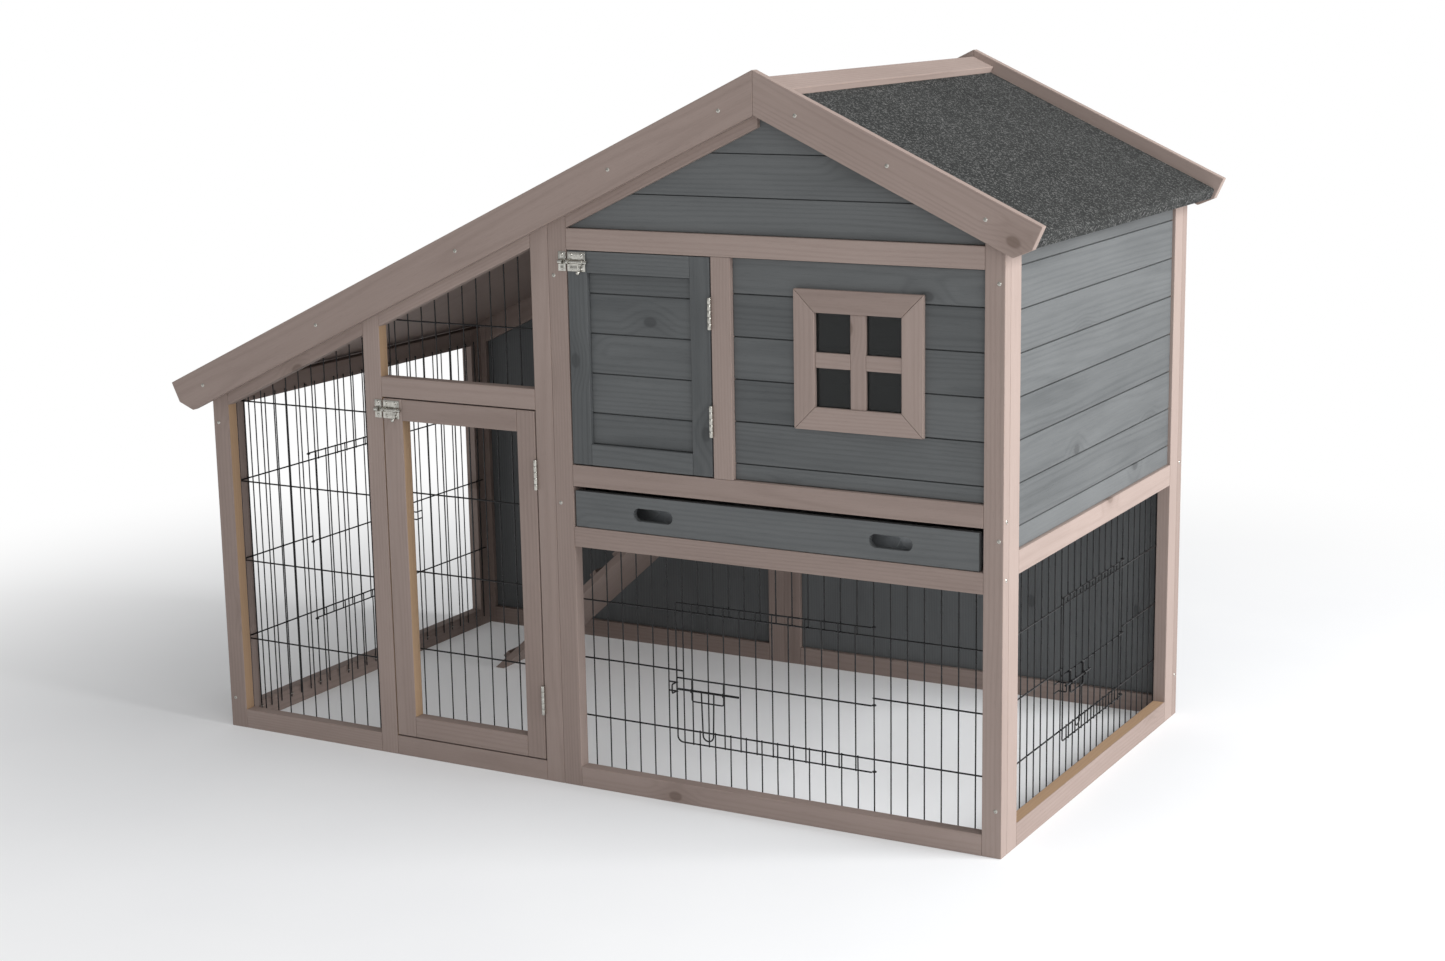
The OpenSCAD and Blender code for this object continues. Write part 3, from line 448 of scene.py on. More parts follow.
@dataclass(frozen=True)
class MetalFinish:
    """Plated or bare metal with fine scratches and a patchy sheen.

    Attributes:
        name: The material's name.
        bright: The clean metal.
        dull: The metal where it has aged.
        roughness: The middle roughness.
        patch_scale: Aged patches to a metre.
        spangle: How strongly the leaf pattern of hot-dip zinc shows.
        leaves: Zinc leaves to a metre.
        scratches: Fine scratches to a metre, along each axis.
    """

    name: str
    bright: Colour
    dull: Colour
    roughness: float = 0.3
    patch_scale: float = 90.0
    spangle: float = 0.0
    leaves: float = 70.0
    scratches: Colour = (900.0, 900.0, 60.0)

    def build(self) -> bpy.types.Material:
        """Builds the material.

        Returns:
            A metal whose colour and roughness follow the same patches.
        """
        g = Surface(self.name)
        place = g.here()
        patch = g.noise(place, self.patch_scale, 4.0, 0.6)
        scratch = g.noise(g.stretch(place, self.scratches), 1.0, 2.0)
        tint = g.split(g.cells(place, self.leaves)["Color"])[0] * self.spangle
        shade = ((patch - 0.35) * 1.3 + tint).clamp()
        colour = g.mix(shade, self.bright, self.dull)
        rough = (patch - 0.5) * 0.35 + (scratch - 0.5) * 0.2 + tint * 0.2 + self.roughness
        relief = scratch * 0.6 + patch * 0.6
        return g.principled(Base_Color=colour, Roughness=rough.clamp(), Metallic=1.0,
                            Normal=g.bump(relief, 0.12, 0.0003))


@dataclass(frozen=True)
class WireFinish:
    """Black powder coat over welded wire."""

    name: str = "coated_wire"
    coat: Colour = (0.004, 0.004, 0.005)
    dusty: Colour = (0.016, 0.016, 0.016)

    def build(self) -> bpy.types.Material:
        """Builds the material.

        Returns:
            A dark coat, a little dusty in patches and orange-peeled by its bump.
        """
        g = Surface(self.name)
        place = g.here()
        dust = g.noise(place, 45.0, 3.0).ramp(0.45, 0.75)
        colour = g.mix(dust, self.coat, self.dusty)
        rough = dust * 0.2 + 0.27
        peel = g.noise(place, 900.0, 2.0)
        return g.principled(Base_Color=colour, Roughness=rough.clamp(), Coat_Weight=0.06,
                            Coat_Roughness=0.25, Specular_IOR_Level=0.3, Normal=g.bump(peel, 0.15, 0.0002))


@dataclass(frozen=True)
class PaneFinish:
    """Clear acrylic with a trace of dust, coloured near-black and half opaque as painted shade of the dim
    room behind it.
    """

    name: str = "dusty_pane_painted_shade"
    # dark: painted shade, standing for the dim room seen through the clear acrylic
    dark: Colour = (0.016, 0.018, 0.018)

    def build(self) -> bpy.types.Material:
        """Builds the material.

        Returns:
            A half clear material whose near-black colour is painted shade of the room behind, and whose dust
            dulls its gloss and its clearness.
        """
        g = Surface(self.name)
        haze = g.noise(g.here(), 35.0, 4.0).ramp(0.4, 0.8)
        # painted shade: the dark base colour and the half opacity paint the room behind onto the pane
        return g.principled(Base_Color=(*self.dark, 1.0), Roughness=haze * 0.1 + 0.04,
                            Alpha=haze * 0.12 + 0.55, Specular_IOR_Level=0.35)


class Finish(Enum):
    """The hutch's finishes, each built once."""

    TAUPE = WoodFinish("taupe_stain", light=(0.345, 0.272, 0.243), dark=(0.222, 0.168, 0.147),
                       knot=(0.105, 0.068, 0.050), ring=0.18, fibre=0.34, knot_share=0.90, wear=0.12)
    SLATE = WoodFinish("slate_stain", light=(0.132, 0.139, 0.142), dark=(0.066, 0.071, 0.074),
                       knot=(0.030, 0.032, 0.034), ring=0.20, fibre=0.32, knot_share=0.84, roughness=0.62,
                       wear=0.0, blotch=0.75)
    FELT = FeltFinish()
    ZINC = MetalFinish("zinc_plate", (0.56, 0.55, 0.51), (0.24, 0.225, 0.19), 0.25, 160.0)
    TRAY = MetalFinish("galvanised_sheet", (0.50, 0.52, 0.54), (0.30, 0.32, 0.34), 0.5, 25.0, 0.6)
    WIRE = WireFinish()
    PANE = PaneFinish()

    def material(self) -> bpy.types.Material:
        """Gives the finish's material, building it on its first use."""
        return bpy.data.materials.get(self.value.name) or self.value.build()


# ---- placing pieces -------------------------------------------------------------------------------


def slot_of(node: str) -> str:
    """Looks up the record's material slot of a CAD node."""
    return next(s["material_slot"] for s in frame["record"]["subparts"] if s["node"] == node)


def settle(piece: bpy.types.Object, *nodes: str, hide: bool = True) -> bpy.types.Object:
    """Makes a piece ride with a CAD node's body; the node's slot is looked up but not given to the piece.

    Args:
        piece: The finished piece.
        *nodes: The CAD nodes that it stands for, all on one body.
        hide: Whether the piece replaces them, and doesn't only sit on them.

    Returns:
        The same piece.
    """
    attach(piece, frame["nodes"][nodes[0]]["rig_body"])
    slot_of(nodes[0])
    if hide:
        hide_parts(*nodes)
    LOG.info("%s: %d faces", piece.name, len(piece.data.polygons))
    return piece


def to_object(bm: bmesh.types.BMesh, name: str, finish: Finish) -> bpy.types.Object:
    """Turns a bmesh into an object with one material.

    Args:
        bm: The bmesh, which is freed.
        name: The name of the object and its mesh.
        finish: Its finish.

    Returns:
        The object, in the scene.
    """
    mesh = bpy.data.meshes.new(name)
    bm.to_mesh(mesh)
    bm.free()
    mesh.materials.append(finish.material())
    piece = bpy.data.objects.new(name, mesh)
    bpy.context.scene.collection.objects.link(piece)
    return piece


def smooth(piece: bpy.types.Object, degrees: float = 38.0) -> bpy.types.Object:
    """Shades a piece smooth.

    Args:
        piece: The piece.
        degrees: The angle past which an edge stays sharp.

    Returns:
        The same piece.
    """
    piece.data.polygons.foreach_set("use_smooth", [True] * len(piece.data.polygons))
    piece.data.set_sharp_from_angle(angle=math.radians(degrees))
    return piece


def applied(piece: bpy.types.Object) -> bpy.types.Object:
    """Turns a piece's modifiers into plain mesh.

    Args:
        piece: The piece.

    Returns:
        The same piece, with no modifiers.
    """
    graph = bpy.context.evaluated_depsgraph_get()
    piece.data = bpy.data.meshes.new_from_object(piece.evaluated_get(graph), depsgraph=graph)
    piece.modifiers.clear()
    return piece


def welded(node: str) -> bmesh.types.BMesh:
    """Copies a CAD node's mesh, with its triangles joined and its flat faces whole.

    Args:
        node: The CAD node.

    Returns:
        A new bmesh.
    """
    bm = bmesh.new()
    bm.from_mesh(frame["nodes"][node].data)
    bmesh.ops.remove_doubles(bm, verts=bm.verts, dist=WELD)
    bmesh.ops.dissolve_limit(bm, angle_limit=math.radians(0.4), verts=bm.verts, edges=bm.edges)
    return bm


def islands(bm: bmesh.types.BMesh) -> list[list[bmesh.types.BMFace]]:
    """Splits a bmesh into solids.

    Args:
        bm: The bmesh.

    Returns:
        The faces of each solid.
    """
    left = set(bm.faces)
    found: list[list[bmesh.types.BMFace]] = []
    for seed in bm.faces:
        if seed not in left:
            continue
        left.discard(seed)
        group, stack = [seed], [seed]
        while stack:
            for edge in stack.pop().edges:
                for face in edge.link_faces:
                    if face in left:
                        left.discard(face)
                        group.append(face)
                        stack.append(face)
        found.append(group)
    return found


def sharp_edges(bm: bmesh.types.BMesh, degrees: float = 25.0) -> list[bmesh.types.BMEdge]:
    """Lists the edges where two faces meet at more than an angle.

    Args:
        bm: The bmesh.
        degrees: The angle.

    Returns:
        The edges, in the bmesh's own order.
    """
    limit = math.radians(degrees)
    return [e for e in bm.edges if len(e.link_faces) == 2 and e.calc_face_angle(0.0) > limit]


# ---- wood -----------------------------------------------------------------------------------------

BareRule = Callable[[Vector, Vector], bool]


@dataclass
class Joiner:
    """Turns plain solids into timbers: eased edges, a grain that runs along each, a tone of its own.

    Attributes:
        ease: How far back an edge is eased, in metres.
        segments: Faces across an eased edge.
        draws: The random draws of the timbers' grain and tone.
    """

    ease: float = 0.0013
    segments: int = 2
    draws: random.Random = field(default_factory=lambda: random.Random(11))

    @staticmethod
    def lengths(bm: bmesh.types.BMesh) -> list[tuple[Vector, Vector]]:
        """Finds which way each timber runs, before its edges are eased.

        Args:
            bm: The timbers.

        Returns:
            The middle of each face, with the direction of its timber's longest edge.
        """
        directions = {}
        for group in islands(bm):
            longest = max((e for f in group for e in f.edges), key=lambda e: e.calc_length())
            own = (longest.verts[1].co - longest.verts[0].co).normalized()
            directions.update(dict.fromkeys(group, own))
        return [(f.calc_center_median().copy(), directions[f]) for f in bm.faces]

    @staticmethod
    def across(group: list[bmesh.types.BMFace], own: Vector) -> tuple[Vector, Vector]:
        """Finds a timber's other two directions.

        Args:
            group: The timber's faces.
            own: The direction that it runs in.

        Returns:
            The direction of its breadth, and of its thickness.
        """
        depth = Vector((0, 1, 0)) if abs(own.y) < 0.7 else Vector((1, 0, 0))
        wide = own.cross(depth).normalized()
        corners = [v.co for f in group for v in f.verts]
        spans = [max(c.dot(a) for c in corners) - min(c.dot(a) for c in corners) for a in (wide, depth)]
        return (depth, wide) if spans[0] < spans[1] else (wide, depth)

    def sawn_from(self) -> Vector:
        """Draws where in its trunk a timber was sawn: along it, and off its heart both ways."""
        return Vector((self.draws.uniform(0, 40), self.draws.uniform(-0.045, 0.045),
                       self.draws.uniform(0.012, 0.07)))

    def dress(self, bm: bmesh.types.BMesh, bare: BareRule | None = None, along: Vector | None = None) -> None:
        """Eases the edges and writes the grain, tone, edge and bare attributes.

        Args:
            bm: The timbers, changed in place.
            bare: Says of a face's middle and normal whether it was left unstained.
            along: The direction of the grain, or None for each timber's own longest edge.
        """
        lengths = self.lengths(bm)
        made = bmesh.ops.bevel(bm, geom=sharp_edges(bm), offset=self.ease, offset_type="OFFSET",
                               segments=self.segments, profile=0.6, affect="EDGES", clamp_overlap=True)
        eased = set(made["faces"])
        bm.faces.ensure_lookup_table()
        layers = bm.loops.layers
        grain = layers.float_vector.new("grain")
        tone, edge, unstained_wood = (layers.float.new(key) for key in ("tone", "edge", "bare"))
        for group in islands(bm):
            middle = sum((f.calc_center_median() for f in group), Vector()) / len(group)
            own = along or min(lengths, key=lambda k: (k[0] - middle).length_squared)[1]
            wide, depth = self.across(group, own)
            shift = self.sawn_from()
            value = self.draws.random()
            for face in group:
                flat = face not in eased
                raw = bare is not None and flat and bare(face.calc_center_median(), face.normal)
                for loop in face.loops:
                    place = loop.vert.co - middle
                    loop[grain] = Vector((place.dot(own), place.dot(wide), place.dot(depth))) + shift
                    loop[tone] = value
                    loop[edge] = 0.0 if flat else 1.0
                    loop[unstained_wood] = 1.0 if raw else 0.0

    def from_node(self, node: str, name: str, finish: Finish, bare: BareRule | None = None,
                  along: Vector | None = None) -> bpy.types.Object:
        """Makes a wooden piece from a CAD node, and puts it in the node's place.

        Args:
            node: The CAD node.
            name: The new piece's name.
            finish: Its finish.
            bare: The rule for unstained faces, as in dress.
            along: The direction of the grain, as in dress.

        Returns:
            The new piece.
        """
        bm = welded(node)
        self.dress(bm, bare, along)
        return settle(to_object(bm, name, finish), node)


def unstained(node: str, top: float = 10.0, sill: bool = False) -> BareRule:
    """Says which faces of a frame were never stained: those that look right across its openings.

    Args:
        node: The frame's CAD node.
        top: Height above which everything is stained, in metres.
        sill: Whether it is the top of the bottom rail that was left, and not the stiles.

    Returns:
        A rule for Joiner.dress.
    """
    low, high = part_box(node)
    level, upright = 0.9, 0.8
    rail, margin = 0.05, 0.004

    def rule(middle: Vector, normal: Vector) -> bool:
        """Tests one face."""
        if sill:
            return normal.z > level and middle.z < low.z + rail
        return normal.x > upright and middle.z < top and low.x + margin < middle.x < high.x - margin
    return rule


def clip(outline: Sequence[Point2], height: float, keep_above: bool) -> list[Point2]:
    """Cuts a convex outline with a level line.

    Args:
        outline: The outline, by distance and height.
        height: The height of the cut.
        keep_above: Whether the part over the cut is kept, or else the part under it.

    Returns:
        The outline of the part that is kept.
    """
    kept: list[Point2] = []
    for (x0, z0), (x1, z1) in zip(outline, [*outline[1:], outline[0]]):
        inside0, inside1 = ((z >= height) == keep_above for z in (z0, z1))
        if inside0:
            kept.append((x0, z0))
        if inside0 != inside1 and z0 != z1:
            t = (height - z0) / (z1 - z0)
            kept.append((x0 + t * (x1 - x0), height))
    return kept


TONGUE = (0.4, 0.7)


@dataclass
class Boarding:
    """A wall of tongued boards, one solid to a board, with the tongues closing the joints behind.

    Attributes:
        wall: The wall that the boards stand on.
        outline: The wall's outline, by distance and height.
        first_joint: Height of the lowest joint.
        pitch: Height from joint to joint.
        front: Depth of the boards' faces.
        thickness: Thickness of a board.
        joint: Width of an open joint.
        hole: Left, right, bottom and top of an opening, if there is one.
    """

    wall: Wall
    outline: list[Point2]
    first_joint: float
    pitch: float
    front: float
    thickness: float = 10.0
    joint: float = 1.6
    hole: tuple[float, float, float, float] | None = None

    def rows(self) -> list[list[Point2]]:
        """Cuts the outline into boards, and round the hole if there is one.

        Returns:
            The outline of each board.
        """
        low = min(z for _, z in self.outline)
        high = max(z for _, z in self.outline)
        count = int((high - self.first_joint) / self.pitch) + 1
        joints = [low, *(self.first_joint + i * self.pitch for i in range(count)), high]
        joints = [z for i, z in enumerate(joints) if i == 0 or z - joints[i - 1] > 2 * self.joint]
        boards = []
        for z0, z1 in zip(joints, joints[1:]):
            row = clip(clip(self.outline, z0 + self.joint / 2, True), z1 - self.joint / 2, False)
            boards.extend(self.round_hole(row) if self.hole else [row])
        return [b for b in boards if len(b) > 2]

    def round_hole(self, row: list[Point2]) -> list[list[Point2]]:
        """Splits a rectangular board where the hole crosses it.

        Args:
            row: The board's outline.

        Returns:
            The outlines that are left of it.
        """
        x0, x1 = min(x for x, _ in row), max(x for x, _ in row)
        z0, z1 = min(z for _, z in row), max(z for _, z in row)
        left, right, bottom, top = self.hole
        if z1 <= bottom or z0 >= top:
            return [row]
        parts = [(x0, left, z0, z1), (right, x1, z0, z1)]
        if z0 < bottom:
            parts.append((left, right, z0, bottom))
        if z1 > top:
            parts.append((left, right, top, z1))
        return [[(a, c), (b, c), (b, d), (a, d)] for a, b, c, d in parts]

    def prism(self, bm: bmesh.types.BMesh, outline: Sequence[Point2], d0: float, d1: float) -> None:
        """Adds one board.

        Args:
            bm: The bmesh that it is added to.
            outline: Its outline, by distance and height.
            d0: Depth of its front.
            d1: Depth of its back.
        """
        ends = [[bm.verts.new(LAYOUT.on(self.wall, x, d, z)) for x, z in outline] for d in (d0, d1)]
        bm.faces.new(ends[0])
        bm.faces.new(ends[1][::-1])
        for i in range(len(outline)):
            j = (i + 1) % len(outline)
            bm.faces.new((ends[0][i], ends[1][i], ends[1][j], ends[0][j]))

    def raise_boards(self, joiner: Joiner, name: str, *nodes: str, also: "Boarding | None" = None
                     ) -> bpy.types.Object:
        """Builds the boards and puts them in the place of the CAD nodes.

        Args:
            joiner: The joiner who dresses them.
            name: The new piece's name.
            *nodes: The CAD nodes that it replaces.
            also: More boards that belong to the same piece.

        Returns:
            The new piece.
        """
        bm = bmesh.new()
        for wall in (self, also) if also else (self,):
            for row in wall.rows():
                wall.prism(bm, row, wall.front, wall.front + wall.thickness)
            backs = wall.round_hole(wall.outline) if wall.hole else [wall.outline]
            tongue = [wall.front + wall.thickness * share for share in TONGUE]
            for part in backs:
                wall.prism(bm, part, *tongue)
        bmesh.ops.recalc_face_normals(bm, faces=bm.faces)
        joiner.dress(bm)
        return settle(to_object(bm, name, Finish.SLATE), *nodes)


# ---- geometry node tools --------------------------------------------------------------------------


class NodeTool(Graph):
    """A Geometry Nodes tree with named inputs, run once on a mesh and then taken off again."""

    def __init__(self, name: str, inputs: dict[str, str]) -> None:
        """Opens the tree.

        Args:
            name: The tree's name.
            inputs: Socket types by input name, after the geometry.
        """
        tree = bpy.data.node_groups.new(name, "GeometryNodeTree")
        super().__init__(tree)
        tree.interface.new_socket("Geometry", in_out="INPUT", socket_type="NodeSocketGeometry")
        self.identifiers = {
            key: tree.interface.new_socket(key, in_out="INPUT", socket_type=kind).identifier
            for key, kind in inputs.items()
        }
        tree.interface.new_socket("Geometry", in_out="OUTPUT", socket_type="NodeSocketGeometry")
        self.given = self.node("NodeGroupInput")

    def close(self, geometry: Sock) -> None:
        """Ends the tree in Realize Instances and Set Material.

        Args:
            geometry: What the tree has made.
        """
        real = self.node("GeometryNodeRealizeInstances", {}, {0: geometry})
        coat = {"Geometry": real[0], "Material": self.given["Finish"]}
        dressed = self.node("GeometryNodeSetMaterial", {}, coat)
        self.node("NodeGroupOutput", {}, {0: dressed[0]})

    def run(self, base: bpy.types.Mesh, name: str, **values: object) -> bpy.types.Object:
        """Runs the tree on a mesh and keeps the result as a plain mesh.

        Args:
            base: The mesh that it starts from.
            name: The name of the new piece.
            **values: The tree's inputs by name.

        Returns:
            The new piece, with no modifier.
        """
        carrier = bpy.data.objects.new(name + "_base", base)
        bpy.context.scene.collection.objects.link(carrier)
        modifier = carrier.modifiers.new("tool", "NODES")
        modifier.node_group = self.tree
        for key, value in values.items():
            modifier[self.identifiers[key]] = value
        graph = bpy.context.evaluated_depsgraph_get()
        mesh = bpy.data.meshes.new_from_object(carrier.evaluated_get(graph), depsgraph=graph)
        mesh.name = name
        bpy.data.objects.remove(carrier)
        piece = bpy.data.objects.new(name, mesh)
        bpy.context.scene.collection.objects.link(piece)
        return piece


def wire_tool() -> NodeTool:
    """Builds the tree that gives every edge line of a mesh a round wire's body.

    Returns:
        A tool that reads each point's radius attribute.
    """
    g = NodeTool("wire_drawer", {"Sides": "NodeSocketInt", "Finish": "NodeSocketMaterial"})
    line = g.node("GeometryNodeMeshToCurve", {}, {0: g.given["Geometry"]})
    gauge = g.node("GeometryNodeInputNamedAttribute", {"data_type": "FLOAT"}, {"Name": "radius"})
    profile = g.node("GeometryNodeCurvePrimitiveCircle", {"mode": "RADIUS"},
                     {"Resolution": g.given["Sides"], "Radius": 1.0})
    tube = g.node("GeometryNodeCurveToMesh", {}, {"Curve": line[0], "Profile Curve": profile[0],
                                                  "Scale": gauge["Attribute"], "Fill Caps": True})
    soft = g.node("GeometryNodeSetShadeSmooth", {}, {"Geometry": tube[0]})
    g.close(soft[0])
    return g


def fastener_tool() -> NodeTool:
    """Builds the tree that sets one part on every point.

    Returns:
        A tool that turns each part by its point's out and side attributes.
    """
    g = NodeTool("fastener_setter", {"Part": "NodeSocketObject", "Size": "NodeSocketFloat",
                                     "Finish": "NodeSocketMaterial"})
    part = g.node("GeometryNodeObjectInfo", {}, {"Object": g.given["Part"]})
    out, side = (g.node("GeometryNodeInputNamedAttribute", {"data_type": "FLOAT_VECTOR"}, {"Name": key})
                 for key in ("out", "side"))
    turn = g.node("FunctionNodeAxesToRotation", {"primary_axis": "Z", "secondary_axis": "X"},
                  {0: out["Attribute"], 1: side["Attribute"]})
    placed = g.node("GeometryNodeInstanceOnPoints", {}, {
        "Points": g.given["Geometry"], "Instance": part["Geometry"], "Rotation": turn[0],
        "Scale": g.given["Size"]})
    g.close(placed[0])
    return g


@dataclass
class Fastening:
    """Where a fastener sits.

    Attributes:
        place: Its place.
        out: The way that its head faces.
        side: A direction across the head.
    """

    place: Vector
    out: Vector
    side: Vector


def set_fasteners(tool: NodeTool, part: bpy.types.Object, spots: Sequence[Fastening], name: str,
                  finish: Finish, size: float = 1.0) -> bpy.types.Object:
    """Sets a copy of a part on each spot.

    Args:
        tool: The tool made by fastener_tool.
        part: The part.
        spots: Where the copies go.
        name: The new piece's name.
        finish: Its finish.
        size: The size of the copies.

    Returns:
        All the copies as one piece.
    """
    mesh = bpy.data.meshes.new(name + "_points")
    mesh.from_pydata([s.place for s in spots], [], [])
    for key in ("out", "side"):
        layer = mesh.attributes.new(key, "FLOAT_VECTOR", "POINT")
        layer.data.foreach_set("vector", [c for s in spots for c in getattr(s, key)])
    return tool.run(mesh, name, Part=part, Size=size, Finish=finish.material())


@dataclass
class Line:
    """One wire.

    Attributes:
        points: Its centre line, in the frame.
        radius: Its radius, in millimetres.
    """

    points: list[Vector]
    radius: float


def draw_wires(tool: NodeTool, lines: Sequence[Line], name: str, sides: int = 10) -> bpy.types.Object:
    """Draws wires along their centre lines.

    Args:
        tool: The tool made by wire_tool.
        lines: The wires.
        name: The new piece's name.
        sides: Faces round a wire.

    Returns:
        All the wires as one piece.
    """
    places: list[Vector] = []
    edges: list[tuple[int, int]] = []
    radii: list[float] = []
    for line in lines:
        start = len(places)
        places.extend(line.points)
        radii.extend([line.radius * MM] * len(line.points))
        edges.extend((start + i, start + i + 1) for i in range(len(line.points) - 1))
    mesh = bpy.data.meshes.new(name + "_lines")
    mesh.from_pydata(places, edges, [])
    mesh.attributes.new("radius", "FLOAT", "POINT").data.foreach_set("value", radii)
    return tool.run(mesh, name, Sides=sides, Finish=Finish.WIRE.material())


# ---- wire panels ----------------------------------------------------------------------------------


@dataclass
class Gate:
    """A gateway in a panel and the crate-style door that hangs in it, in millimetres along the wall.

    Attributes:
        left: Left edge of the gateway.
        right: Right edge of the gateway, on whose upright the door turns.
        bottom: Bottom of the gateway.
        top: Top of the gateway.
        free_edge: The door's free edge.
        rows: Heights of the door's three level wires.
        latch: Height of the latch rod.
        row_depth: Depth of the door's level wires.
        face: Depth of its uprights.
        corner: Radius of its round lower corner.
        hang: How far short of the hinge upright its level wires end.
        curl: Radius of a curled hinge end.
        keeper_face: Depth of the keeper's front.
        rod_depth: Depth of the latch rod.
        rod: Length of the latch rod.
        rod_radius: Its radius.
    """

    left: float
    right: float
    bottom: float
    top: float
    free_edge: float
    rows: tuple[float, float, float]
    latch: float
    row_depth: float = 20.1
    face: float = 18.4
    corner: float = 9.0
    hang: float = 2.4
    curl: float = 2.45
    keeper_face: float = 10.6
    rod_depth: float = 15.2
    rod: float = 104.0
    rod_radius: float = 1.75

    def step(self, pitch: float) -> float:
        """Gives the distance between the door's uprights, near the panel's own."""
        width = self.right - self.free_edge
        return width / round(width / pitch)


def quarter(steps: int) -> list[float]:
    """Divides a right angle into equal steps."""
    return [math.pi / 2 * i / steps for i in range(steps + 1)]


@dataclass
class WirePanel:
    """A panel of welded wire on the inside of a frame.

    Attributes:
        wall: The wall that it stands on.
        first: Distance of the first upright.
        count: Number of uprights.
        levels: Heights of the level wires.
        span: Distances of the level wires' ends.
        rise: Heights of the uprights' ends.
        pitch: Distance from upright to upright.
        gate: The gateway, if there is one.
        level_depth: Depth of the level wires.
        upright_depth: Depth of the uprights.
        level_radius: Radius of a level wire.
        upright_radius: Radius of an upright.
        draws: The random draws of how far the wires are out of true.
    """

    wall: Wall
    first: float
    count: int
    levels: tuple[float, ...]
    span: Point2
    rise: Point2
    pitch: float = 26.5
    gate: Gate | None = None
    level_depth: float = 22.3
    upright_depth: float = 24.0
    level_radius: float = 1.25
    upright_radius: float = 1.05
    draws: random.Random = field(default_factory=lambda: random.Random(5))

    def at(self, s: float, d: float, z: float) -> Vector:
        """Gives a place on the panel's wall."""
        return LAYOUT.on(self.wall, s, d, z)

    def upright(self, s: float, low: float, high: float) -> Line:
        """Lays out an upright wire, as straight as such a wire is.

        Args:
            s: Its distance.
            low: Height of its lower end.
            high: Height of its upper end.

        Returns:
            The wire.
        """
        lean = self.draws.uniform(-0.35, 0.35)
        places = [(s, low), (s + lean, (low + high) / 2), (s - lean * 0.5, high)]
        return Line([self.at(x, self.upright_depth, z) for x, z in places], self.upright_radius)

    def level(self, s0: float, s1: float, z: float) -> Line:
        """Lays out a level wire.

        Args:
            s0: Distance of its left end.
            s1: Distance of its right end.
            z: Its height.

        Returns:
            The wire.
        """
        sag = self.draws.uniform(-0.4, 0.4)
        places = [(s0, z), ((s0 + s1) / 2, z + sag), (s1, z)]
        return Line([self.at(x, self.level_depth, h) for x, h in places], self.level_radius)

    def lines(self, top: Callable[[float], float] | None = None) -> list[Line]:
        """Lays out the whole panel.

        Args:
            top: Height of the cut end of the upright at a distance, where it isn't level.

        Returns:
            The panel's wires, with the gateway left open.
        """
        low, high = self.rise
        made: list[Line] = []
        for i in range(self.count):
            s = self.first + i * self.pitch
            end = top(s) if top else high
            if self.gate and self.gate.left + 1 < s < self.gate.right - 1:
                made.append(self.upright(s, low, self.gate.bottom + self.level_radius))
                made.append(self.upright(s, self.gate.top - self.level_radius, end))
            else:
                made.append(self.upright(s, low, end))
        for z in self.levels:
            if self.gate and self.gate.bottom + 1 < z < self.gate.top - 1:
                made.append(self.level(self.span[0], self.gate.left + self.upright_radius, z))
                made.append(self.level(self.gate.right - self.upright_radius, self.span[1], z))
            else:
                made.append(self.level(*self.span, z))
        if self.gate:
            made.append(self.keeper())
        return made

    def keeper(self) -> Line:
        """Lays out the hairpin that the latch rod slides behind.

        Returns:
            One wire: out from the panel over the rod, down before it, and back under it.
        """
        gate = self.gate
        root, x = gate.left - self.pitch, gate.free_edge - 4
        back, front = self.upright_depth, gate.keeper_face
        half = 7
        upper = [(root, back, half), (x + 1.6, back, half), (x, back - 1.6, half), (x, front + 2, half),
                 (x, front + 0.6, half - 0.6), (x, front, half - 2)]
        outline = upper + [(s, d, -h) for s, d, h in reversed(upper)]
        return Line([self.at(s, d, gate.latch + h) for s, d, h in outline], self.upright_radius * 1.15)

    def ring(self, s: float, d: float, z: float, size: float, radius: float, flat: bool) -> Line:
        """Curls a wire's end round another wire.

        Args:
            s: Distance of the curl's middle.
            d: Its depth.
            z: Its height.
            size: Radius of the curl.
            radius: Radius of the wire.
            flat: Whether it lies flat round an upright, or else stands round a rod.

        Returns:
            The curl.
        """
        points = []
        for i in range(17):
            a = math.tau * i / 16
            c, n = size * math.cos(a), size * math.sin(a)
            points.append(self.at(s + c, d + n, z) if flat else self.at(s, d + c, z + n))
        return Line(points, radius)

    def door(self) -> list[Line]:
        """Lays out the wire door.

        Returns:
            Its wires, with the round lower corner, the curled hinge ends and the latch rod's two rings.
        """
        gate, r, thick = self.gate, self.upright_radius, self.level_radius
        x0, x1, end = gate.free_edge, gate.right, gate.right - gate.hang
        low, middle, high = gate.rows
        turn = quarter(6)
        frame_wire = [self.at(x0, gate.face, high + 1.0)]
        for i, a in enumerate(turn):
            frame_wire.append(self.at(x0 + gate.corner * (1 - math.cos(a)),
                                      gate.face + (gate.row_depth - gate.face) * i / 6,
                                      low + gate.corner * (1 - math.sin(a))))
        frame_wire.append(self.at(end, gate.row_depth, low))
        made = [Line(frame_wire, thick * 0.95)]
        made += [Line([self.at(s, gate.row_depth, z) for s in (x0 - r, end)], thick) for z in (middle, high)]
        made += [self.ring(x1, self.upright_depth, z, gate.curl, r, True) for z in gate.rows]
        step = gate.step(self.pitch)
        for i in range(1, round((x1 - x0) / self.pitch)):
            made.append(Line([self.at(x0 + i * step, gate.face, z) for z in (low - r, high + r)], r))
        rings = (x0 + step, x0 + 3 * step)
        made.append(self.guide(*rings, gate.face - 2.2))
        made += [self.ring(s, gate.rod_depth, gate.latch, 2.9, 0.95, False) for s in rings]
        return made

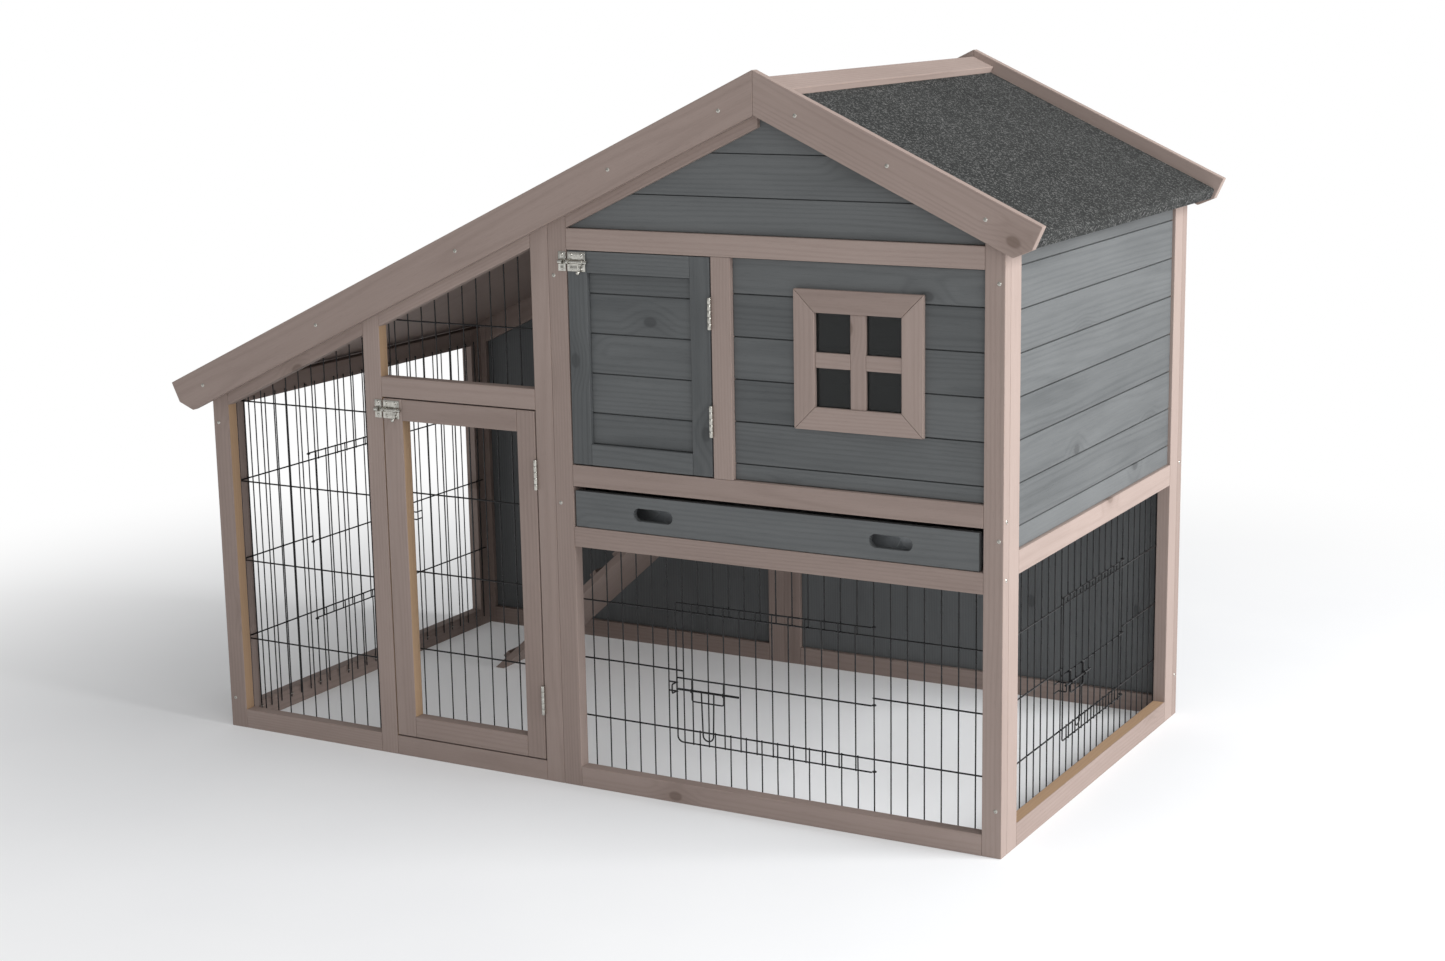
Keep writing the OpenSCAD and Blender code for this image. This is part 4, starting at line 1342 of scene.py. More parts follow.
    def guide(self, left: float, right: float, depth: float) -> Line:
        """Lays out the bracket that hangs from the middle wire and carries the rod's two rings.

        Args:
            left: Distance of its left leg.
            right: Distance of its right leg.
            depth: Its depth.

        Returns:
            The bracket as one bent wire.
        """
        top, low, bend = self.gate.rows[1] + 1.5, self.gate.latch - 17.0, 3.5
        outline = [(left, top + 2.0, depth + 2.4), (left, top - 1.0, depth)]
        outline += [(left + bend * (1 - math.cos(a)), low + bend * (1 - math.sin(a)), depth)
                    for a in quarter(4)]
        outline += [(right - bend * (1 - math.sin(a)), low + bend * (1 - math.cos(a)), depth)
                    for a in quarter(4)]
        outline += [(right, top - 1.0, depth), (right, top + 2.0, depth + 2.4)]
        return Line([self.at(s, d, z) for s, z, d in outline], 1.15)

    def latch(self) -> list[Line]:
        """Lays out the latch.

        Returns:
            The sliding rod, and the hairpin handle that hangs from it.
        """
        x0, z, d = self.gate.free_edge + 4, self.gate.latch, self.gate.rod_depth
        leg0, leg1, drop, taper = x0 + 40, x0 + 61.5, 76.0, 1.8
        bend = (leg1 - leg0) / 2 - taper
        middle, low = leg0 + taper + bend, z - drop + bend
        handle = [self.at(leg0, d, z + 1.2), self.at(leg0 + taper * 0.4, d, z - 30)]
        handle += [self.at(middle - bend * math.cos(a), d, low - bend * math.sin(a))
                   for a in (math.pi * i / 12 for i in range(13))]
        handle += [self.at(leg1 - taper * 0.4, d, z - 30), self.at(leg1, d, z + 1.2)]
        rod = [self.at(x0, d, z), self.at(x0 + self.gate.rod, d, z)]
        return [Line(rod, self.gate.rod_radius), Line(handle, 1.2)]

    def staples(self, levels: Sequence[float], every: int = 3) -> list[Fastening]:
        """Places the staples that hold the uprights to the back of the rails.

        Args:
            levels: Heights of the staples.
            every: Uprights from one staple to the next.

        Returns:
            The staples' places.
        """
        out = (self.at(0, 1, 0) - self.at(0, 0, 0)).normalized()
        side = (self.at(1, 0, 0) - self.at(0, 0, 0)).normalized()
        timber_back = 21
        return [Fastening(self.at(self.first + i * self.pitch, timber_back, z), out, side)
                for z in levels for i in range(1, self.count, every)]


# ---- the sub-assemblies ---------------------------------------------------------------------------


@dataclass
class Roofline:
    """The two slopes, measured down from the top edge of the fascia boards, in millimetres.

    Attributes:
        ridge_x: Distance of the ridge.
        ridge_h: Its height.
        pitch: The slopes' angle, in radians.
        left: Length of the left slope.
        right: Length of the right slope.
    """

    ridge_x: float
    ridge_h: float
    pitch: float
    left: float
    right: float

    @classmethod
    def from_frame(cls) -> "Roofline":
        """Reads the ridge and the eaves from the front fascia boards.

        Returns:
            The roofline.
        """
        low_l, high_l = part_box("fascia_front_left")
        _, high_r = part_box("fascia_front_right")
        ridge_x = (high_l.x - LAYOUT.corner.x) / MM
        points = [v.co for v in frame["nodes"]["fascia_front_left"].data.vertices]
        tip = min(points, key=lambda p: (round(p.x, 5), -p.z))
        pitch = math.atan2(high_l.z - tip.z, high_l.x - tip.x)
        left = (high_l.x - low_l.x) / MM / math.cos(pitch)
        right = (high_r.x - high_l.x) / MM / math.cos(pitch)
        return cls(ridge_x, high_l.z / MM, pitch, left, right)

    def z(self, x: float, d: float) -> float:
        """Gives the height at x of a line that runs parallel to the slopes, d below their top."""
        return self.ridge_h - math.tan(self.pitch) * abs(self.ridge_x - x) - d / math.cos(self.pitch)

    def down(self, way: int, s: float, d: float) -> Point2:
        """Gives a point s down a slope and d below its top; way is -1 for left and 1 for right."""
        return (self.ridge_x + way * (s * math.cos(self.pitch) - d * math.sin(self.pitch)),
                self.ridge_h - s * math.sin(self.pitch) - d * math.cos(self.pitch))


def spaced(start: float, end: float, step: float) -> list[float]:
    """Divides a stretch into equal steps near the one asked for."""
    count = max(1, round((end - start) / step))
    return [start + (end - start) * i / count for i in range(count + 1)]


@dataclass
class Roof:
    """Fascias, decks, felt, ridge boards and the beam under them.

    Attributes:
        line: The slopes.
        joiner: The joiner who dresses the timbers.
        felt_depth: Depth of the felt's top below the fascias' top.
        felt_thick: Room for the felt.
        felt_gap: How much thinner than its room the felt is.
        turn_radius: Radius of its turn over the eave.
        hem: Depth that it hangs to at the eave.
        inset: How far its hem stands back from the fascias' end.
        ripple: How far it lies out of flat.
        nail_step: Distance from nail to nail along the eaves, in metres.
    """

    line: Roofline
    joiner: Joiner
    felt_depth: float = 21.0
    felt_thick: float = 3.0
    felt_gap: float = 0.2
    turn_radius: float = 5.0
    hem: float = 38.0
    inset: float = 5.0
    ripple: float = 0.5
    nail_step: float = 0.1

    def build(self) -> None:
        """Builds the roof's timbers and its two sheets of felt."""
        fascias = [f"fascia_{end}_{side}" for end in ("front", "rear") for side in ("left", "right")]
        for node in (*fascias, "roof_deck_left", "roof_deck_right", "ridge_cap", "ridge_beam"):
            self.joiner.from_node(node, node + "_board", Finish.TAUPE)
        self.felt(-1, self.line.left, "roof_felt_left")
        self.felt(1, self.line.right, "roof_felt_right")

    def felt_profile(self, edge: float) -> list[Point2]:
        """Lays out the felt's top down one slope: along it, round the turn, and down the eave.

        Args:
            edge: Distance down the slope of the felt's hem.

        Returns:
            Points by distance down the slope and depth below the fascias' top.
        """
        r = self.turn_radius
        profile = [(s, self.felt_depth) for s in spaced(0.0, edge - r, 14.0)]
        profile += [(edge - r + r * math.sin(a), self.felt_depth + r * (1 - math.cos(a)))
                    for a in quarter(6)[1:]]
        return profile + [(edge, d) for d in spaced(self.felt_depth + r + 3, self.hem, 4.0)]

    def felt(self, way: int, length: float, node: str) -> None:
        """Lays one sheet: nearly flat, dressed over the eave in a round turn.

        Args:
            way: The slope that it lies on, -1 or 1.
            length: The slope's length to the eave.
            node: The CAD node that the sheet replaces.
        """
        low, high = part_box(node)
        edge = length - self.inset
        profile = self.felt_profile(edge)
        bm = bmesh.new()
        rows = []
        for y in spaced(low.y, high.y, 0.014):
            row = []
            for s, d in profile:
                flat = min(1.0, s / 60.0, (edge - s) / 40.0 if s < edge else 0.0)
                wave = noise.noise(Vector((s * 0.006, y * 9.0, way * 3.0))) * self.ripple * max(flat, 0.0)
                x, z = self.line.down(way, s, d + wave)
                row.append(bm.verts.new((LAYOUT.corner.x + x * MM, y, z * MM)))
            rows.append(row)
        for a, b in zip(rows, rows[1:]):
            for i in range(len(profile) - 1):
                bm.faces.new((a[i], b[i], b[i + 1], a[i + 1]))
        bmesh.ops.recalc_face_normals(bm, faces=bm.faces)
        middle = rows[len(rows) // 2][len(profile) // 2]
        if middle.link_faces[0].normal.z < 0:
            bmesh.ops.reverse_faces(bm, faces=bm.faces)
        piece = to_object(bm, node.replace("roof_", "sheet_"), Finish.FELT)
        thick = piece.modifiers.new("thickness", "SOLIDIFY")
        thick.thickness = (self.felt_thick - self.felt_gap) * MM
        thick.offset = -1.0
        settle(smooth(applied(piece), 50.0), node)

    def nails(self) -> list[Fastening]:
        """Places the felt nails along both eaves.

        Returns:
            The nails' places.
        """
        spots = []
        low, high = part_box("roof_felt_left")
        end = 0.03
        depth = (self.felt_depth + self.hem + self.felt_thick) / 2
        for way, length in ((-1, self.line.left), (1, self.line.right)):
            x, z = self.line.down(way, length - self.inset, depth)
            out = Vector((way * math.cos(self.line.pitch), 0, -math.sin(self.line.pitch)))
            for y in spaced(low.y + end, high.y - end, self.nail_step):
                spots.append(Fastening(Vector((LAYOUT.corner.x + x * MM, y, z * MM)), out, Vector((0, 1, 0))))
        return spots


@dataclass(frozen=True)
class Area:
    """A node's edges in the layout, in millimetres."""

    left: float
    right: float
    front: float
    back: float
    bottom: float
    top: float

    @classmethod
    def of(cls, node: str) -> "Area":
        """Reads a CAD node's edges.

        Args:
            node: The CAD node.

        Returns:
            The edges.
        """
        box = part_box(node)
        x0, x1 = ((corner.x - LAYOUT.corner.x) / MM for corner in box)
        y0, y1 = ((corner.y - LAYOUT.corner.y) / MM for corner in box)
        return cls(x0, x1, y0, y1, box[0].z / MM, box[1].z / MM)


def oblong(s0: float, s1: float, z0: float, z1: float) -> list[Point2]:
    """Gives a rectangle's outline."""
    return [(s0, z0), (s1, z0), (s1, z1), (s0, z1)]


@dataclass
class Carcass:
    """The standing frames, the boarding between them and the floor of the house.

    Attributes:
        line: The slopes.
        joiner: The joiner who dresses the timbers.
        recess: Depth of the front and rear boards.
        side_recess: Depth of the right side's boards.
        pitch: Height of a board.
        side_pitch: Height of a board on the right side.
        step: Depth below the slope where the gable's boards stop on the left.
        hidden: Depth where they stop on the right, behind the fascia.
        stile: Breadth of a standing timber.
        door_front: Distance to the front of the doorway between run and house.
        door_top: Height of that doorway's head.
    """

    line: Roofline
    joiner: Joiner
    recess: float = 8.0
    side_recess: float = 5.0
    pitch: float = 62.0
    side_pitch: float = 61.0
    step: float = 72.8
    hidden: float = 56.0
    stile: float = 32.0
    door_front: float = 486.0
    door_top: float = 722.0

    def build(self) -> None:
        """Builds every fixed timber and board below the roof."""
        wired_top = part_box("tray_runners")[1].z
        for node, top in (("run_front_frame", 10.0), ("house_front_frame", wired_top)):
            self.joiner.from_node(node, node + "_timbers", Finish.TAUPE, unstained(node, top))
        self.joiner.from_node("house_side_frame", "house_side_frame_timbers", Finish.TAUPE,
                              unstained("house_side_frame", sill=True))
        self.muntins()
        for node in ("run_end_frame", "run_rear_frame", "house_rear_frame", "partition_frame", "tray_runners",
                     "window_trim"):
            self.joiner.from_node(node, node + "_timbers", Finish.TAUPE)
        for node in ("run_rear_panel", "house_rear_panel"):
            self.joiner.from_node(node, node + "_sheet", Finish.SLATE, along=Vector((0, 0, 1)))
        self.front_boards()
        self.side_boards()
        self.rear_boards()
        self.partition_boards()

    def muntins(self) -> None:
        """Builds the window's cross from one upright and two level bars that butt against it."""
        corners = [v.co for v in frame["nodes"]["window_muntins"].data.vertices]
        x0, x1, x2, x3 = sorted({round(c.x, 4) for c in corners})
        z0, z1, z2, z3 = sorted({round(c.z, 4) for c in corners})
        y0, y1 = min(c.y for c in corners), max(c.y for c in corners)
        gap = 0.0001
        bm = bmesh.new()
        for left, right, low, high in ((x1, x2, z0, z3), (x0, x1 - gap, z1, z2), (x2 + gap, x3, z1, z2)):
            size = Vector((right - left, y1 - y0, high - low))
            middle = Vector(((left + right) / 2, (y0 + y1) / 2, (low + high) / 2))
            place = Matrix.Translation(middle) @ Matrix.Diagonal((*size, 1.0))
            bmesh.ops.create_cube(bm, size=1.0, matrix=place)
        self.joiner.dress(bm)
        settle(to_object(bm, "window_bars", Finish.TAUPE), "window_muntins")

    def gable(self, wall: Wall) -> Boarding:
        """Lays out the boarded triangle under the ridge.

        Args:
            wall: The front or the rear.

        Returns:
            Its boards.
        """
        area = Area.of("gable_front_siding")
        ridge, z = self.line.ridge_x, self.line.z
        outline = [(area.left, area.bottom), (area.right, area.bottom),
                   (area.right, z(area.right, self.hidden)), (ridge, z(ridge, self.hidden)),
                   (ridge - 1, z(ridge, self.step) + 1), (area.left, z(area.left, self.step))]
        return Boarding(wall, outline, area.bottom + 53, self.pitch, self.recess)

    def front_boards(self) -> None:
        """Raises the boards beside the hatch and in the front gable."""
        area, pane = Area.of("house_front_siding"), Area.of("window_pane")
        ease = 0.5
        hole = (pane.left - ease, pane.right + ease, pane.bottom - ease, pane.top + ease)
        wall = Boarding(Wall.FRONT, oblong(area.left, area.right, area.bottom, area.top), area.bottom + 24.5,
                        self.pitch, self.recess, hole=hole)
        wall.raise_boards(self.joiner, "house_front_boards", "house_front_siding")
        self.gable(Wall.FRONT).raise_boards(self.joiner, "gable_front_boards", "gable_front_siding")

    def side_boards(self) -> None:
        """Raises the boards of the right side."""
        area = Area.of("house_side_siding")
        wall = Boarding(Wall.SIDE, oblong(area.front, area.back, area.bottom, area.top), area.bottom + 32,
                        self.side_pitch, self.side_recess)
        wall.raise_boards(self.joiner, "house_side_boards", "house_side_siding")

    def rear_boards(self) -> None:
        """Raises the boards of the back, with the rear gable."""
        area = Area.of("house_rear_siding")
        top = self.gable(Wall.REAR)
        body = Boarding(Wall.REAR, oblong(area.left, area.right, area.bottom, top.outline[0][1] - self.stile),
                        area.bottom + 48, self.pitch, self.recess)
        body.raise_boards(self.joiner, "house_rear_boards", "house_rear_siding", also=top)

    def partition_boards(self) -> None:
        """Raises the boards of the wall between run and house."""
        area = Area.of("partition_siding")
        inset = LAYOUT.width - area.right
        back = Area.of("partition_frame").back - self.stile
        wall = Boarding(Wall.SIDE, oblong(area.front, self.door_front - self.stile, area.bottom, area.top),
                        area.bottom + self.pitch, self.pitch, inset)
        over = Boarding(Wall.SIDE, oblong(self.door_front, back, self.door_top, area.top),
                        self.door_top + self.pitch, self.pitch, inset)
        wall.raise_boards(self.joiner, "partition_boards", "partition_siding", also=over)


@dataclass
class Leaves:
    """The run door, the hatch, the drawer and the ramp.

    Attributes:
        joiner: The joiner who dresses the timbers.
        board_pitch: Height of a board in the hatch.
        board_recess: Depth of the hatch's boards.
        board_thickness: Their thickness.
    """

    joiner: Joiner
    board_pitch: float = 60.0
    board_recess: float = 7.0
    board_thickness: float = 9.0

    def build(self) -> None:
        """Builds every wooden part that moves."""
        self.joiner.from_node("run_door_frame", "run_door_timbers", Finish.TAUPE, unstained("run_door_frame"))
        self.joiner.from_node("hatch_frame", "hatch_timbers", Finish.SLATE)
        area = Area.of("hatch_panel")
        panel = Boarding(Wall.FRONT, oblong(area.left, area.right, area.bottom, area.top), area.bottom + 47.5,
                         self.board_pitch, self.board_recess, self.board_thickness)
        panel.raise_boards(self.joiner, "hatch_boards", "hatch_panel")
        slots = Joiner(ease=0.0016, segments=3, draws=random.Random(23))
        slots.from_node("drawer_front", "drawer_front_board", Finish.SLATE, along=Vector((1, 0, 0)))
        self.joiner.from_node("ramp_board", "ramp_plank", Finish.TAUPE)
        self.joiner.from_node("ramp_cleats", "ramp_treads", Finish.TAUPE)


@dataclass
class Ironwork:
    """Hinges, bolts, screws, nails and the drawer's tray.

    Attributes:
        setter: The tool made by fastener_tool.
        draws: The random draws of how far each screw is turned.
        plate_rows: Distances of a bolt plate's screws from its left edge, in millimetres.
        small_screw: Size of a plate's screw beside a frame's.
        staple_levels: Heights of the staples in each panel, in millimetres.
    """

    setter: NodeTool
    draws: random.Random = field(default_factory=lambda: random.Random(3))
    plate_rows: tuple[float, float] = (7, 24)
    small_screw: float = 0.72
    staple_levels: dict[str, Point2] = field(
        default_factory=lambda: {"front": (24, 392), "side": (27, 410), "end": (24, 553)})

    def build(self, roof: Roof, panels: dict[str, WirePanel]) -> None:
        """Builds all metal parts apart from the wire.

        Args:
            roof: The roof, which says where its nails are.
            panels: The wire panels that staples hold.
        """
        for node in ("bolt_keepers", "run_door_bolt_plate", "hatch_bolt_plate"):
            self.metal(node, node + "_metal", Finish.ZINC, 0.25)
        hinges = [f"{part}_hinge_{half}" for half in ("fixed", "moving")
                  for part in ("door", "hatch", "ramp")]
        for node in ("run_door_bolt", "hatch_bolt", *hinges):
            self.metal(node, node + "_metal", Finish.ZINC, 0.2)
        self.metal("drawer_tray", "drawer_sheet_tray", Finish.TRAY, 0.5)
        screw, nail, staple = self.screw_part(), self.nail_part(), self.staple_part()
        settle(self.fasten(screw, self.cad_screws(), "frame_screws", Finish.ZINC), "screws")
        for node, rows in (("run_door_bolt_plate", self.plate_rows), ("hatch_bolt_plate", self.plate_rows),
                           ("bolt_keepers", ())):
            spots = self.plate_screws(node, rows)
            piece = self.fasten(screw, spots, node + "_screws", Finish.ZINC, self.small_screw)
            settle(piece, node, hide=False)
        settle(self.fasten(nail, roof.nails(), "felt_nails", Finish.WIRE), "screws", hide=False)
        spots = [s for key, levels in self.staple_levels.items() for s in panels[key].staples(levels)]
        settle(self.fasten(staple, spots, "wire_staples", Finish.ZINC), "screws", hide=False)
        for part in (screw, nail, staple):
            bpy.data.objects.remove(part)

    def fasten(self, part: bpy.types.Object, spots: Sequence[Fastening], name: str, finish: Finish,
               size: float = 1.0) -> bpy.types.Object:
        """Sets a part on each spot and shades it smooth, as set_fasteners and smooth say."""
        return smooth(set_fasteners(self.setter, part, spots, name, finish, size))

    def metal(self, node: str, name: str, finish: Finish, ease: float) -> None:
        """Makes a metal piece from a CAD node with its edges broken.

        Args:
            node: The CAD node.
            name: The new piece's name.
            finish: Its finish.
            ease: How far back its edges are broken, in millimetres.
        """
        bm = welded(node)
        bmesh.ops.bevel(bm, geom=sharp_edges(bm, 40.0), offset=ease * MM, offset_type="OFFSET", segments=2,
                        profile=0.6, affect="EDGES", clamp_overlap=True)
        settle(smooth(to_object(bm, name, finish)), node)

    def lathe(self, name: str, profile: Sequence[Point2], turns: int) -> bpy.types.Object:
        """Turns a profile into a closed part on the Z axis.

        Args:
            name: The part's name.
            profile: Radius and height of each point, in millimetres, from the axis back to the axis.
            turns: Faces round the part.

        Returns:
            The part.
        """
        bm = bmesh.new()
        rings = []
        for radius, height in profile:
            angles = [math.tau * i / turns for i in range(turns)] if radius else [0.0]
            rings.append([bm.verts.new((radius * MM * math.cos(a), radius * MM * math.sin(a), height * MM))
                          for a in angles])
        for a, b in zip(rings, rings[1:]):
            for i in range(turns):
                j = (i + 1) % turns
                corners = [a[i % len(a)], a[j % len(a)], b[j % len(b)], b[i % len(b)]]
                bm.faces.new(list(dict.fromkeys(corners)))
        bmesh.ops.recalc_face_normals(bm, faces=bm.faces)
        return to_object(bm, name, Finish.ZINC)

    def screw_part(self) -> bpy.types.Object:
        """Makes a pan head with a cross recess.

        Returns:
            The part, which rises from z = 0.
        """
        pan = [(0, -1.5), (2.2, -1.5), (3.0, -0.1), (3.05, 0.15), (2.8, 0.5), (2.1, 0.8), (1.2, 0.98),
               (0, 1.04)]
        head = self.lathe("screw_part", pan, 24)
        cutter = bmesh.new()
        middle = Matrix.Translation((0, 0, 1.3 * MM))
        for turn in (0, math.pi / 2):
            bar = Matrix.Rotation(turn, 4, "Z") @ Matrix.Diagonal((3.1 * MM, 0.8 * MM, 2.4 * MM, 1.0))
            bmesh.ops.create_cube(cutter, size=1.0, matrix=middle @ bar)
        tool = to_object(cutter, "recess_tool", Finish.ZINC)
        cut = head.modifiers.new("recess", "BOOLEAN")
        cut.object = tool
        cut.operation = "DIFFERENCE"
        cut.use_self = True
        applied(head)
        bpy.data.objects.remove(tool)
        return head

    def nail_part(self) -> bpy.types.Object:
        """Makes a flat clout nail's head."""
        flat = [(0, -0.6), (3.2, -0.6), (3.7, -0.1), (3.6, 0.35), (2.8, 0.6), (0, 0.72)]
        return self.lathe("nail_part", flat, 16)

    def staple_part(self) -> bpy.types.Object:
        """Makes a staple.

        Returns:
            The part, whose legs start at z = 0 and whose crown clears a wire.
        """
        left = [(-4.5, -2.0), (-4.5, 3.2), (-4.1, 4.2), (-3.1, 4.6)]
        points = left + [(-x, z) for x, z in reversed(left)]
        bm = bmesh.new()
        half = 0.45
        slant = half * 0.7
        rings = []
        for x, z in points:
            rings.append([bm.verts.new(((x + a * slant) * MM, b * half * MM, (z + a * slant) * MM))
                          for a, b in ((-1, -1), (1, -1), (1, 1), (-1, 1))])
        for a, b in zip(rings, rings[1:]):
            for i in range(4):
                bm.faces.new((a[i], a[(i + 1) % 4], b[(i + 1) % 4], b[i]))
        bm.faces.new(rings[0][::-1])
        bm.faces.new(rings[-1])
        bmesh.ops.recalc_face_normals(bm, faces=bm.faces)
        return to_object(bm, "staple_part", Finish.ZINC)

    def spin(self, out: Vector) -> Vector:
        """Gives a random direction across a head that faces out."""
        across = out.orthogonal().normalized()
        return Matrix.Rotation(self.draws.uniform(0, math.pi), 3, out) @ across

    def cad_screws(self) -> list[Fastening]:
        """Finds the seat and direction of every screw in the CAD node.

        Returns:
            The screws' places, a little under the top of each one's solid.
        """
        head = 1.2 * MM
        spots = []
        bm = welded("screws")
        for group in islands(bm):
            corners = [v.co.copy() for f in group for v in f.verts]
            low = Vector([min(c[i] for c in corners) for i in range(3)])
            high = Vector([max(c[i] for c in corners) for i in range(3)])
            size = high - low
            axis = max(range(3), key=lambda i: size[i])
            middle = (low + high) / 2
            other = (axis + 1) % 3
            rim = [c for c in corners if abs(c[other] - middle[other]) > size[other] * 0.4]
            seat = sum(c[axis] for c in rim) / len(rim)
            out = Vector((0, 0, 0))
            out[axis] = 1.0 if seat > middle[axis] else -1.0
            place = middle.copy()
            place[axis] = (high[axis] if out[axis] > 0 else low[axis]) - out[axis] * head
            spots.append(Fastening(place, out, self.spin(out)))
        bm.free()
        return spots

    def plate_screws(self, node: str, columns: Sequence[float]) -> list[Fastening]:
        """Places the small screws of the bolt plates and keepers.

        Args:
            node: The plate's CAD node.
            columns: Distances of the screw columns from the plate's left edge, or none for a keeper's middle.

        Returns:
            The screws' places, heads facing forward.
        """
        out = Vector((0, -1, 0))
        rise, plate = 10.5 * MM, 1.3 * MM
        spots = []
        bm = welded(node)
        for group in islands(bm):
            corners = [v.co for f in group for v in f.verts]
            x0, x1 = min(c.x for c in corners), max(c.x for c in corners)
            z = (min(c.z for c in corners) + max(c.z for c in corners)) / 2
            y = max(c.y for c in corners) - plate
            for x in [x0 + c * MM for c in columns] or [(x0 + x1) / 2]:
                for dz in (-rise, rise):
                    spots.append(Fastening(Vector((x, y, z + dz)), out, self.spin(out)))
        bm.free()
        return spots


@dataclass
class Meshwork:
    """All the welded wire: fixed panels, the run door's panel, wire doors and their latches.

    Attributes:
        tool: The tool made by wire_tool.
        line: The slopes.
        rail: Depth of the sloping rail's lower edge below the slope.
        foot: Height of the panels' lower ends.
        run: Distances of the level wires' ends in the panel beside the run door.
        window: Left and right of the opening over the run door.
        sill: Height of that panel's lower ends.
    """

    tool: NodeTool
    line: Roofline
    rail: float = 74.6
    foot: float = 18.0
    run: Point2 = (22.5, 323.0)
    window: Point2 = (349.0, 634.0)
    sill: float = 607.0

    def panels(self) -> dict[str, WirePanel]:
        """Lays out the three panels that have a gateway.

        Returns:
            The panels of the front, the right side and the left end.
        """
        front = Gate(left=873, right=1191, bottom=110.5, top=295.5, free_edge=864, rows=(91, 192, 309),
                     latch=176)
        side = Gate(left=285, right=550, bottom=105, top=300, free_edge=280, rows=(88, 192, 312), latch=176)
        end = Gate(left=260.5, right=552, bottom=152, top=420, free_edge=255.5, rows=(138, 276, 432),
                   latch=260)
        across = (33, 727)
        return {
            "front": WirePanel(Wall.FRONT, 714, 25, (front.bottom, 203, front.top), (684, 1377.5),
                               (self.foot, 396), gate=front),
            "side": WirePanel(Wall.SIDE, 46.5, 26, (side.bottom, 201.5, side.top), across, (self.foot, 415),
                              gate=side),
            "end": WirePanel(Wall.END, 48.5, 26, (end.bottom, 286, end.top), across, (self.foot, 556),
                             gate=end),
        }

    def build(self, panels: dict[str, WirePanel]) -> None:
        """Draws every wire.

        Args:
            panels: The panels with a gateway, as panels() gives them.
        """
        for key, node in (("front", "house_front_mesh"), ("side", "house_side_mesh"),
                          ("end", "run_end_mesh")):
            panel = panels[key]
            self.draw(panel.lines(), node.replace("_mesh", "_wires"), node)
            self.draw(panel.door(), f"{key}_wire_gate", f"{key}_wire_door")
            self.draw(panel.latch(), f"{key}_gate_latch", f"{key}_wire_latch", 14)
        self.run_panel()
        self.window_panel()
        self.door_panel()

    def draw(self, lines: Sequence[Line], name: str, node: str, sides: int = 10) -> None:
        """Draws one set of wires in the place of a CAD node."""
        settle(draw_wires(self.tool, lines, name, sides), node)

    def run_panel(self) -> None:
        """Draws the tapering panel beside the run door."""
        left, right = self.run
        panel = WirePanel(Wall.FRONT, 28.5, 11, (), self.run, (self.foot, 0), pitch=26.7)
        lines = panel.lines(lambda s: self.line.z(s, self.rail) + 10)
        for z in (151, 286, 421.5, 557):
            reach = (self.line.z(0, self.rail - 8) - z) / math.tan(self.line.pitch)
            lines.append(panel.level(max(left, -reach), right, z))
        self.draw(lines, "run_front_wires", "run_front_mesh")

    def window_panel(self) -> None:
        """Draws the panel over the run door."""
        left, right = self.window
        panel = WirePanel(Wall.FRONT, left + 11.5, 11, (709, 611), (left - 6, right + 6), (self.sill, 0),
                          pitch=26.3)
        lines = panel.lines(lambda s: self.line.z(s, self.rail) + 8)
        for s in self.window:
            lines.append(panel.upright(s, self.sill, self.line.z(s, self.rail) + 8))
        slope = [panel.at(s, panel.level_depth, self.line.z(s, self.rail) + 3) for s in self.window]
        lines.append(Line(slope, panel.level_radius))
        self.draw(lines, "run_window_wires", "run_window_mesh")

    def door_panel(self) -> None:
        """Draws the panel of the run door."""
        area = Area.of("run_door_frame")
        span = (area.left + 24, area.right - 22)
        rise = (area.bottom + 20, area.top - 20)
        panel = WirePanel(Wall.FRONT, area.left + 40.5, 8, (177, 305, 433.5), span, rise)
        self.draw(panel.lines(), "run_door_wires", "run_door_mesh")


# ---- the studio -----------------------------------------------------------------------------------


@dataclass(frozen=True)
class Lamp:
    """A square soft light.

    Attributes:
        name: Its name.
        place: Where it hangs.
        target: What it faces.
        size: Length of its side.
        power: Its power in watts.
    """

    name: str
    place: Colour
    target: Colour
    size: float
    power: float

    def hang(self) -> None:
        """Adds the light to the scene."""
        data = bpy.data.lights.new(self.name, "AREA")
        data.shape = "SQUARE"
        data.size = self.size
        data.energy = self.power
        lamp = bpy.data.objects.new(self.name, data)
        facing = (Vector(self.target) - Vector(self.place)).to_track_quat("-Z", "Y")
        lamp.matrix_world = Matrix.Translation(self.place) @ facing.to_matrix().to_4x4()
        bpy.context.scene.collection.objects.link(lamp)


